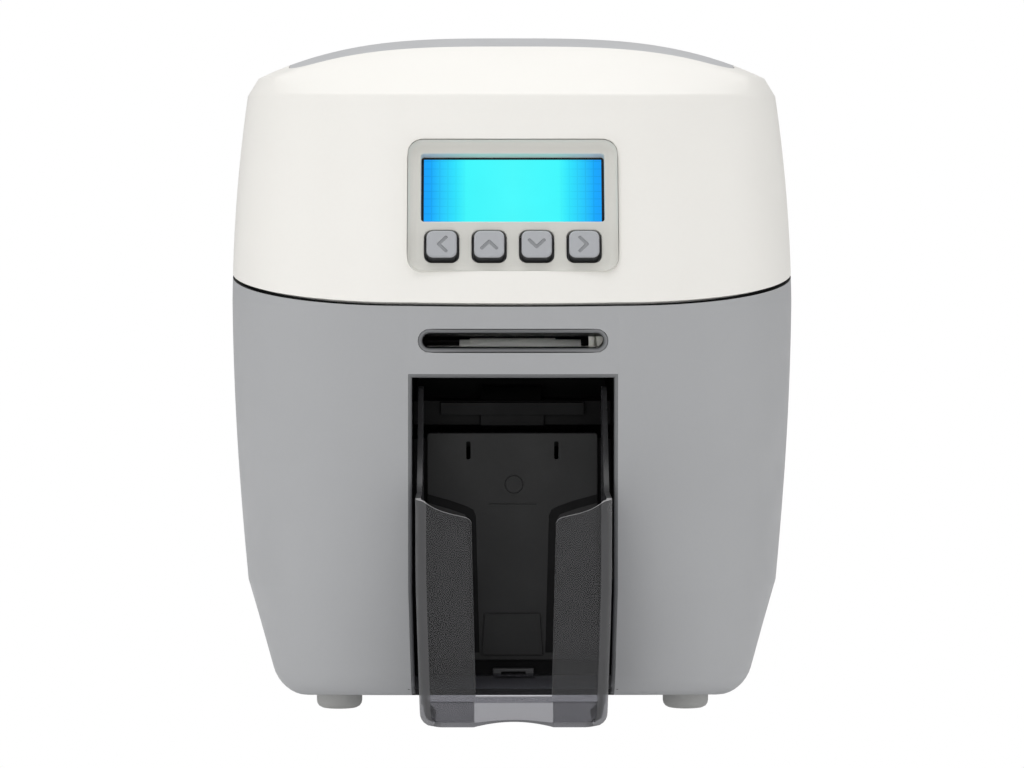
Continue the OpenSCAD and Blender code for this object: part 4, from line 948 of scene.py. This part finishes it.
inlay = make_object("lid_inlay", *inlay_grid(0.0, 0.0), "lid", "inlay_grey", "inlay_grey", ["top_inlay"])
thicken(inlay, 1.15)
soften(inlay, 0.3, angle=50.0)
thicken(make_object("lid_inlay_seat", *inlay_grid(1.5, 1.25), "lid", "lid_white", "lid_white"), 1.2)

# ---------------------------------------------------------------- console
FRAME_D, FRAME_FLOOR, KEY_D, KEY_BACK = 6.5, 2.5, 6.8, 8.3
b = Builder()
outline = rounded_rect(CW - 0.3, CH - 0.3, CRAD - 0.15, 8)
rings = [b.loop(inset(outline, i), d) for i, d in ((0.0, 0.15), (0.25, 0.7), (0.65, 1.3), (1.15, 1.8), (1.8, 2.2),
                                                   (2.6, 2.42), (3.4, FRAME_FLOOR))]
b.strips(rings)
windows = [(rounded_rect(LCD_W, LCD_H, 1.2, 4, 0, LCD_UP - CUP), 0.5)]
windows += [(rounded_rect(KEY_W + 1.9, KEY_W + 1.9, 2.9, 5, i * PITCH, KEY_UP - CUP), 0.35)
            for i in (-1.5, -0.5, 0.5, 1.5)]
fronts, backs = b.holes(windows, FRAME_FLOOR, FRAME_D)
b.cap(rings[-1], fronts)
flange = rounded_rect(CW + 6, CH + 6, CRAD, 8)
rings = [rings[0], b.loop(outline, 5.0), b.loop(flange, 5.0), b.loop(flange, FRAME_D)]
b.strips(rings)
b.cap(rings[-1], backs)
b.piece("console_frame", "lid", "lid_white", "bezel_white", ["console_bezel"], world=lean_world(CUP))

b = Builder()
b.plate(rounded_rect(LCD_W + 3, 2 * (LCD_UP - KEY_UP - 7.5 - 0.6) - 1, 0.8, 2), FRAME_D, 7.7, 0.1, steps=1)
make_object("display_window", b.v, b.f, "lid", "clear_window", "display_glow", ["lcd_window"],
            world=lean_world(LCD_UP))


def arrow(angle):
    """Outline of a key's mark, turned by angle."""
    a = math.radians(angle)
    base = [(1.6, 3.5), (-1.9, 0.0), (1.6, -3.5), (2.4, -2.75), (-0.35, 0.0), (2.4, 2.75)]
    base = round_corners(base, [0.4, 0.6, 0.4, 0.4, 0.4, 0.4], 3)
    return [(x * math.cos(a) - y * math.sin(a), x * math.sin(a) + y * math.cos(a)) for x, y in base]


for node, i, angle in (("key_left", -1.5, 0), ("key_up_arrow", -0.5, -90), ("key_down_arrow", 0.5, 90),
                       ("key_right", 1.5, 180)):
    b = Builder()
    outline = rounded_rect(KEY_W + 0.1, KEY_W - 0.5, 2.6, 6, 0, 0.15)
    mark, flange = arrow(angle), rounded_rect(15, 15, 2, 6)
    front, side = b.rounded(outline, 0.0, 0.7, True, 4)
    rings = [b.loop(outline, KEY_D), b.loop(flange, KEY_D), b.loop(flange, KEY_BACK)]
    # The key's side wall takes the dark grey: painted shade.
    b.strip(side, rings[0], mat=2)
    b.strips(rings)
    b.cap(rings[2])
    # The debossed mark's walls and floor take the darker grey: painted shade in the recess.
    rings = [b.loop(inset(mark, -0.12), 0.0), b.loop(inset(mark, 0.1), 0.3)]
    b.strip(*rings, mat=1)
    b.cap(front, rings[:1])
    b.cap(rings[1], mat=1)
    b.piece(node + "_cap", node, "key_grey", ["key_grey", "key_mark_painted_shade", "key_side_painted_shade"], [node],
            world=lean_world(KEY_UP, i * PITCH))

# ---------------------------------------------------------------- feet
FOOT = ((0, 0.0), (5.2, 0.0), (6.8, 0.15), (7.9, 0.75), (8.55, 1.7), (8.8, 2.9), (8.8, 6.2), (8.55, 6.6), (8.55, 8.0),
        (0, 8.0))
verts, faces = [], []
for fx, fy in ((-67, -147.2), (67, -147.2), (-67, 185), (67, 185)):
    join_rows(faces, [add_row(verts, [(x, y, z) for x, y in circle(2 * r, 56, fx, fy)]) for r, z in FOOT])
soften(make_object("feet", verts, faces, "root", "rubber_grey", "rubber_grey", ["rubber_feet"]))

# ---------------------------------------------------------------- stacker
TRAY_Y, TRAY_HALF, TRAY_LOW, TRAY_R, TRAY_T = -225.0, 36.35, 1.9, 4.0, 2.0
TRAY_FLOOR, TRAY_MID, TRAY_MID_LOW = 13.5, 15.6, 14.1
# Upper edge of a wing over the distance from the middle, and of a side over the depth
WING_TOP = ((15.3, 75.6), (15.5, 77.4), (15.9, 78.6), (16.6, 79.4), (17.6, 79.9), (20.0, 80.5), (23.2, 81.2),
            (26.0, 82.0), (28.5, 82.9), (31.0, 84.3), (33.5, 85.9), (37.0, 86.6))
SIDE_TOP = ((-221.0, 86.6), (-186.0, 86.4), (-182.0, 89.0), (-176.0, 95.4), (-152.0, 122.0), (-149.0, 124.0),
            (-140.0, 124.0))


def tray_low(x, y):
    """Lower edge of the stacker's wall."""
    if y > -190.0:
        return TRAY_LOW + (11.0 - TRAY_LOW) * min(1.0, (y + 190.0) / 4.0)
    return TRAY_LOW + max(0.0, 2.3 * (1 - (x / 15.2) ** 2))


def tray_point(col, z):
    """Plan point at height z of a column of the stacker's wall."""
    kind, t = col
    r = TRAY_R + 1
    e = r - math.sqrt(max(0.0, r ** 2 - max(0.0, r - (z - TRAY_LOW)) ** 2))
    w = TRAY_HALF - 1.4 * (max(0.0, 60.0 - z) / 48.0) ** 1.2 - e
    y0 = TRAY_Y + e * 0.5
    if kind == "gap":
        return t * TRAY_MID_LOW, y0
    mid = TRAY_MID_LOW + (TRAY_MID - TRAY_MID_LOW) * unit((z - TRAY_FLOOR) / 62.0)
    xa = w - TRAY_R
    if kind == "wing":
        return mid + (xa - mid) * t, y0
    if kind == "arc":
        a = math.pi / 2 * t
        return xa + TRAY_R * math.sin(a), y0 + TRAY_R * (1 - math.cos(a))
    return w, max(t, y0 + TRAY_R)


def build_tray():
    half = [("gap", i / 9) for i in range(9)]
    half += [("wing", t) for t in (0, 0.012, 0.035, 0.075, 0.13, 0.2, 0.3, 0.4, 0.5, 0.6, 0.7, 0.8, 0.9)]
    half += [("arc", i / 8) for i in range(9)]
    half += [("side", y) for y in (-217, -210, -200, -190.01, -188, -186, -184, -182, -179, -176, -170, -164, -158,
                                   -152, -150.5, -149, -144, -140)]
    cols = left_to_right(half)
    verts, grid = [], []
    for col, s in cols:
        y = tray_point(col, 40.0)[1]
        low = tray_low(tray_point(col, 12.0)[0], y)
        zs = [low + (TRAY_FLOOR - low) * (k / 9) ** 1.3 for k in range(10)]
        if col[0] != "gap":
            top = between(SIDE_TOP, y) if col[0] == "side" else between(WING_TOP, tray_point(col, 80.0)[0])
            zs += spread(TRAY_FLOOR, top, 20)
        line = [(*tray_point(col, z), z) for z in zs]
        grid.append(add_row(verts, [(s * x, y, z) for x, y, z in line]))
    faces, mats = [], []
    for i in range(len(grid) - 1):
        a, c = grid[i], grid[i + 1]
        kinds = {cols[i][0][0], cols[i + 1][0][0]}
        edge = "arc" in kinds and kinds <= {"arc", "side"}
        for k in range(min(len(a), len(c)) - 1):
            faces.append((a[k], c[k], c[k + 1], a[k + 1]))
            mats.append(1 if edge else 2 if cols[i][0][0] == "side" else 0)
    # Wall, corners and sides, then the upper edges of each; the rounded corners and the sides' upper edges get the
    # darker, less clear copy, which paints shade, and the upper edges of the wings and corners get the lighter copy,
    # which paints a highlight
    o = make_object("stacker_wall", verts, faces, "stacker", "smoke_plastic",
                    ["smoke_plastic", "smoke_edge", "smoke_plastic", "smoke_rim", "smoke_rim", "smoke_edge"],
                    ["card_tray"], mats)
    thicken(o, TRAY_T).material_offset_rim = 3
    soften(o, 0.55, 3)


build_tray()
b = Builder()
plate = [(-34.3, -221.5), (-31.5, -223.2), (31.5, -223.2), (34.3, -221.5), (34.3, -140.0), (-34.3, -140.0)]
b.plate(round_corners(plate, [1.5, 1.5, 1.5, 1.5, 0, 0], 4), 11.0, 12.2, 0.3)
b.piece("stacker_floor", "stacker", "smoke_plastic", "smoke_thin", place=lambda x, d, z: (x, z, d))
WEB = ((14.6, 3.4), (30.0, 3.4), (32.6, 5.0), (33.4, 8.0), (33.4, 11.0), (14.6, 11.0))
for side, sx in (("left", -1), ("right", 1)):
    b = Builder()
    b.plate([(sx * x, z) for x, z in WEB], 0.0, 1.6, 0.2)
    b.piece("stacker_web_" + side, "stacker", "smoke_plastic", "smoke_plastic",
            place=lambda x, d, z: (x, -220.0 + d, z))

# ---------------------------------------------------------------- hopper door
DOOR_Y, DOOR_T, DOOR_Z, DOOR_TOP, DOOR_HALF = -137.0, 3.0, 17.0, 105.7, 33.2
b = Builder()
outline = round_corners([(-DOOR_HALF, DOOR_Z), (DOOR_HALF, DOOR_Z), (DOOR_HALF, DOOR_TOP), (-DOOR_HALF, DOOR_TOP)],
                        [0.6, 0.6, 1.2, 1.2], 4)
front, side = b.rounded(outline, 0.0, 0.45)
back = b.loop(outline, DOOR_T)
b.strip(side, back)
fronts, backs = [], []
for x in (-17.1, 17.1):
    notch = rounded_rect(1.7, 7.0, 0.6, 3, x, 98.9)
    fronts.append(b.loop(notch, 0.0))
    backs.append(b.loop(notch, DOOR_T))
    b.strip(fronts[-1], backs[-1])
# Round mark, slit and finger recess
pull = round_corners([(-12.4, 18.6), (12.4, 18.6), (11.2, 35.6), (-11.2, 35.6)], 0.8, 4)
for ring, width, depth, inner in ((circle(7.4, 40, 0.66, 85.7), 0.5, 0.35, -0.25),
                                  (rounded_rect(18.7, 0.7, 0.3, 3, 0, 78.0), 0.3, 0.3, 0.3), (pull, 0.6, 0.3, -0.35)):
    fronts.append(b.groove(ring, width, depth, inner))
b.cap(front, fronts)
b.cap(back, backs)
b.piece("hopper_door_plate", "door", "door_black", "door_black", ["hopper_door"],
        lambda x, d, z: (x, DOOR_Y + d, z))
# Black strips on the door's front along the wings' edges: painted shade along the wings.
SHADE_BAND = ((-33.0, 81.9), (-29.9, 81.0), (-24.0, 79.4), (-17.8, 77.2), (-15.2, 75.8), (-14.2, 73.5), (-12.8, 20.0),
       (-16.2, 20.0), (-17.5, 72.3), (-18.5, 74.0), (-24.8, 76.2), (-30.5, 77.8), (-33.0, 78.6))
for side, sx in (("left", -1), ("right", 1)):
    b = Builder()
    b.plate([(-sx * x, z) for x, z in SHADE_BAND], 0.0, 0.4, 0.1)
    b.piece("door_shade_band_" + side, "door", "black_plastic", "black_plastic",
            place=lambda x, d, z: (x, DOOR_Y - 0.25 + d, z))


def block(name, x, y, z, edge, mats, holes=()):
    """Moulded block between two values on each axis, with rounded front edges; holes are loops in its front face."""
    b = Builder()
    w, h = x[1] - x[0], z[1] - z[0]
    outline = rounded_rect(w, h, min(w, h) * 0.12, 3, (x[0] + x[1]) / 2, (z[0] + z[1]) / 2)
    b.plate(outline, *y, edge, [(loop, edge * 0.5) for loop in holes])
    b.piece(name, "root", "black_plastic", mats)


block("hopper_sill", (-33.4, 33.4), (-132.6, -131.4), (10.6, 24.0), 0.2, "black_plastic")
block("sill_bracket", (-7.6, 8.4), (-139.4, -137.4), (10.6, 14.0), 0.35, "sill_grey",
      [rounded_rect(9.6, 1.3, 0.4, 3, 0.4, 12.1)])
block("hopper_gate", (-29.0, 29.0), (-43.9, -43.1), (94.0, 114.0), 0.15, "black_plastic")


def build_seam_shade():
    """Black strip behind the seam, on the body: painted shade that darkens the gap between body and lid."""
    half = [c for c in half_columns(12, 2) if c[0] in ("mid", "gap", "arc") or (c[0] == "side" and c[1] < 0.93)]
    ring = []
    for c, s in left_to_right(half):
        x, y = plan_point(c, column_top(c, seam_at), BAY_EDGE)
        ring.append((s * x, y))
    loops = []
    for lift, depth in ((-2.2, 2.65), (1.5, 2.65), (1.5, 3.3), (-2.2, 3.3), (-2.2, 2.65)):
        line = []
        for i, (x, y) in enumerate(ring):
            a, c = ring[max(0, i - 1)], ring[min(len(ring) - 1, i + 1)]
            t = Vector((c[0] - a[0], c[1] - a[1])).normalized()
            y += t.x * depth
            line.append((x - t.y * depth, y, seam_at(y) + lift))
        loops.append(line)
    soften(strip_object("seam_shade_strip", loops, "root", "black_plastic", "black_plastic"), 0.1, 1)


build_seam_shade()


def build_spring(turns=9.0, closed=0.9, wire=0.8, per_turn=28, sides=8):
    """Coil with closed ends between the floor and the card lift."""
    lo, hi = ([v / MM for v in corner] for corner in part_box("lift_spring"))
    cx, cy = (lo[0] + hi[0]) / 2, (lo[1] + hi[1]) / 2
    r = (hi[0] - lo[0]) / 2 - wire
    open_h = hi[2] - lo[2] - 6 * wire
    verts, faces, rows = [], [], []
    for i in range(int(turns * per_turn) + 1):
        t = i / per_turn
        a = 2 * math.pi * t
        # Two wires of rise in each closed end, the rest in the open turns
        z = lo[2] + wire + open_h * unit((t - closed) / (turns - 2 * closed))
        z += 2 * wire * (min(1.0, t / closed) + max(0.0, (t - turns + closed) / closed))
        line = []
        for k in range(sides):
            b = 2 * math.pi * k / sides
            q = r + wire * math.cos(b)
            line.append((cx + q * math.cos(a), cy + q * math.sin(a), z + wire * math.sin(b)))
        rows.append(add_row(verts, line))
    join_rows(faces, rows)
    faces += [tuple(rows[0]), tuple(rows[-1][::-1])]
    o = make_object("lift_coil", verts, faces, "lift", "steel", "steel", ["lift_spring"])
    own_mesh(o)


build_spring()

# ---------------------------------------------------------------- pieces shown as packed
slots = {r["node"]: r["material_slot"] for r in frame["record"]["subparts"]}
SHEET = {"rear_panel", "base_pan", "side_frame_left", "side_frame_right", "main_board", "lid_frame"}
BEVEL = {"print_film": 0, "drive_belt": 0, "fan_grille": 0.2}
for name, obj in nodes.items():
    if obj.hide_render:
        continue
    obj.data.materials.clear()
    obj.data.materials.append(M[slots[name]])
    w = obj.modifiers.new("join", "WELD")
    w.merge_threshold = 0.00001
    for p in obj.data.polygons:
        p.use_smooth = name not in SHEET
    if name not in SHEET:
        soften(obj, BEVEL.get(name, 0.25))

# ---------------------------------------------------------------- stage, light, camera
WHITE = (1.0, 1.0, 1.0, 1.0)


def camera_mix(nt, others, camera):
    """One shader for the camera and another for all other rays."""
    path = add_node(nt, "LightPath", output="Is Camera Ray")
    return add_node(nt, "MixShader", {"Fac": path, 1: others, 2: camera})


floor_mat, nt, out = new_material("floor_white")
tint = ramp_node(nt, noise_node(nt, object_coord(nt), 3.0), [(0.0, (0.84,) * 3), (1.0, (0.86,) * 3)])
matt = add_node(nt, "BsdfPrincipled", {"Base Color": tint, "Roughness": 0.8})
lit = add_node(nt, "AddShader", {0: matt, 1: add_node(nt, "Emission", {"Strength": 0.22})})
finish_material(floor_mat, nt, out, camera_mix(nt, lit, add_node(nt, "Emission", {"Color": WHITE, "Strength": 1.0})))
bm = bmesh.new()
bmesh.ops.create_grid(bm, x_segments=8, y_segments=8, size=6.0)
mesh = bpy.data.meshes.new("floor")
bm.to_mesh(mesh)
bm.free()
mesh.materials.append(floor_mat)
floor = link(bpy.data.objects.new("floor", mesh))
floor.location = (0, 0, -0.0002)

world = bpy.data.worlds.new("soft_white")
scene.world = world
world.use_nodes = True
wn = world.node_tree
wn.nodes.clear()
ambient, backdrop = (add_node(wn, "Background", {"Color": WHITE, "Strength": v}) for v in (0.375, 1.0))
wn.links.new(camera_mix(wn, ambient, backdrop), wn.nodes.new("ShaderNodeOutputWorld").inputs["Surface"])


def area_light(name, loc, target, size, power):
    d = bpy.data.lights.new(name, "AREA")
    d.shape = "RECTANGLE"
    d.size, d.size_y = size
    d.energy = power
    o = link(bpy.data.objects.new(name, d))
    o.location = loc
    o.rotation_mode = "QUATERNION"
    o.rotation_quaternion = (Vector(target) - Vector(loc)).to_track_quat("-Z", "Y")
    return o


throat = area_light("throat_light", (0.0, -0.1695, 0.1462), (0.0, -0.156, 0.1385), (0.064, 0.003), 0.014)
throat.visible_camera = False
throat.visible_glossy = False
throat.visible_transmission = False
area_light("front_light", (-0.25, -2.3, 0.35), (0, -0.1, 0.13), (1.4, 0.9), 5.5)
area_light("left_light", (-1.5, -0.35, 0.45), (0.0, -0.1, 0.1), (0.9, 1.2), 3.0)
area_light("right_light", (1.5, -0.35, 0.45), (0.0, -0.1, 0.1), (0.9, 1.2), 3.5)
area_light("key_light", (-0.9, -1.7, 1.7), (0, -0.1, 0.15), (1.6, 1.2), 9.0)
area_light("top_light", (0.0, 0.1, 1.9), (0, 0, 0.2), (1.8, 1.8), 21.0)

cam_data = bpy.data.cameras.new("camera")
cam = link(bpy.data.objects.new("camera", cam_data))
cam_data.sensor_width = 36.0
cam_data.lens = 151.89
cam_data.clip_start, cam_data.clip_end = 0.05, 60.0
cam.location = (-0.010, -1.813, 0.2111)
cam.rotation_mode = "XYZ"
cam.rotation_euler = (math.radians(90 - 2.949), 0.0, math.radians(-0.337))
scene.camera = cam
scene.view_settings.view_transform = "Standard"
scene.view_settings.look = "None"
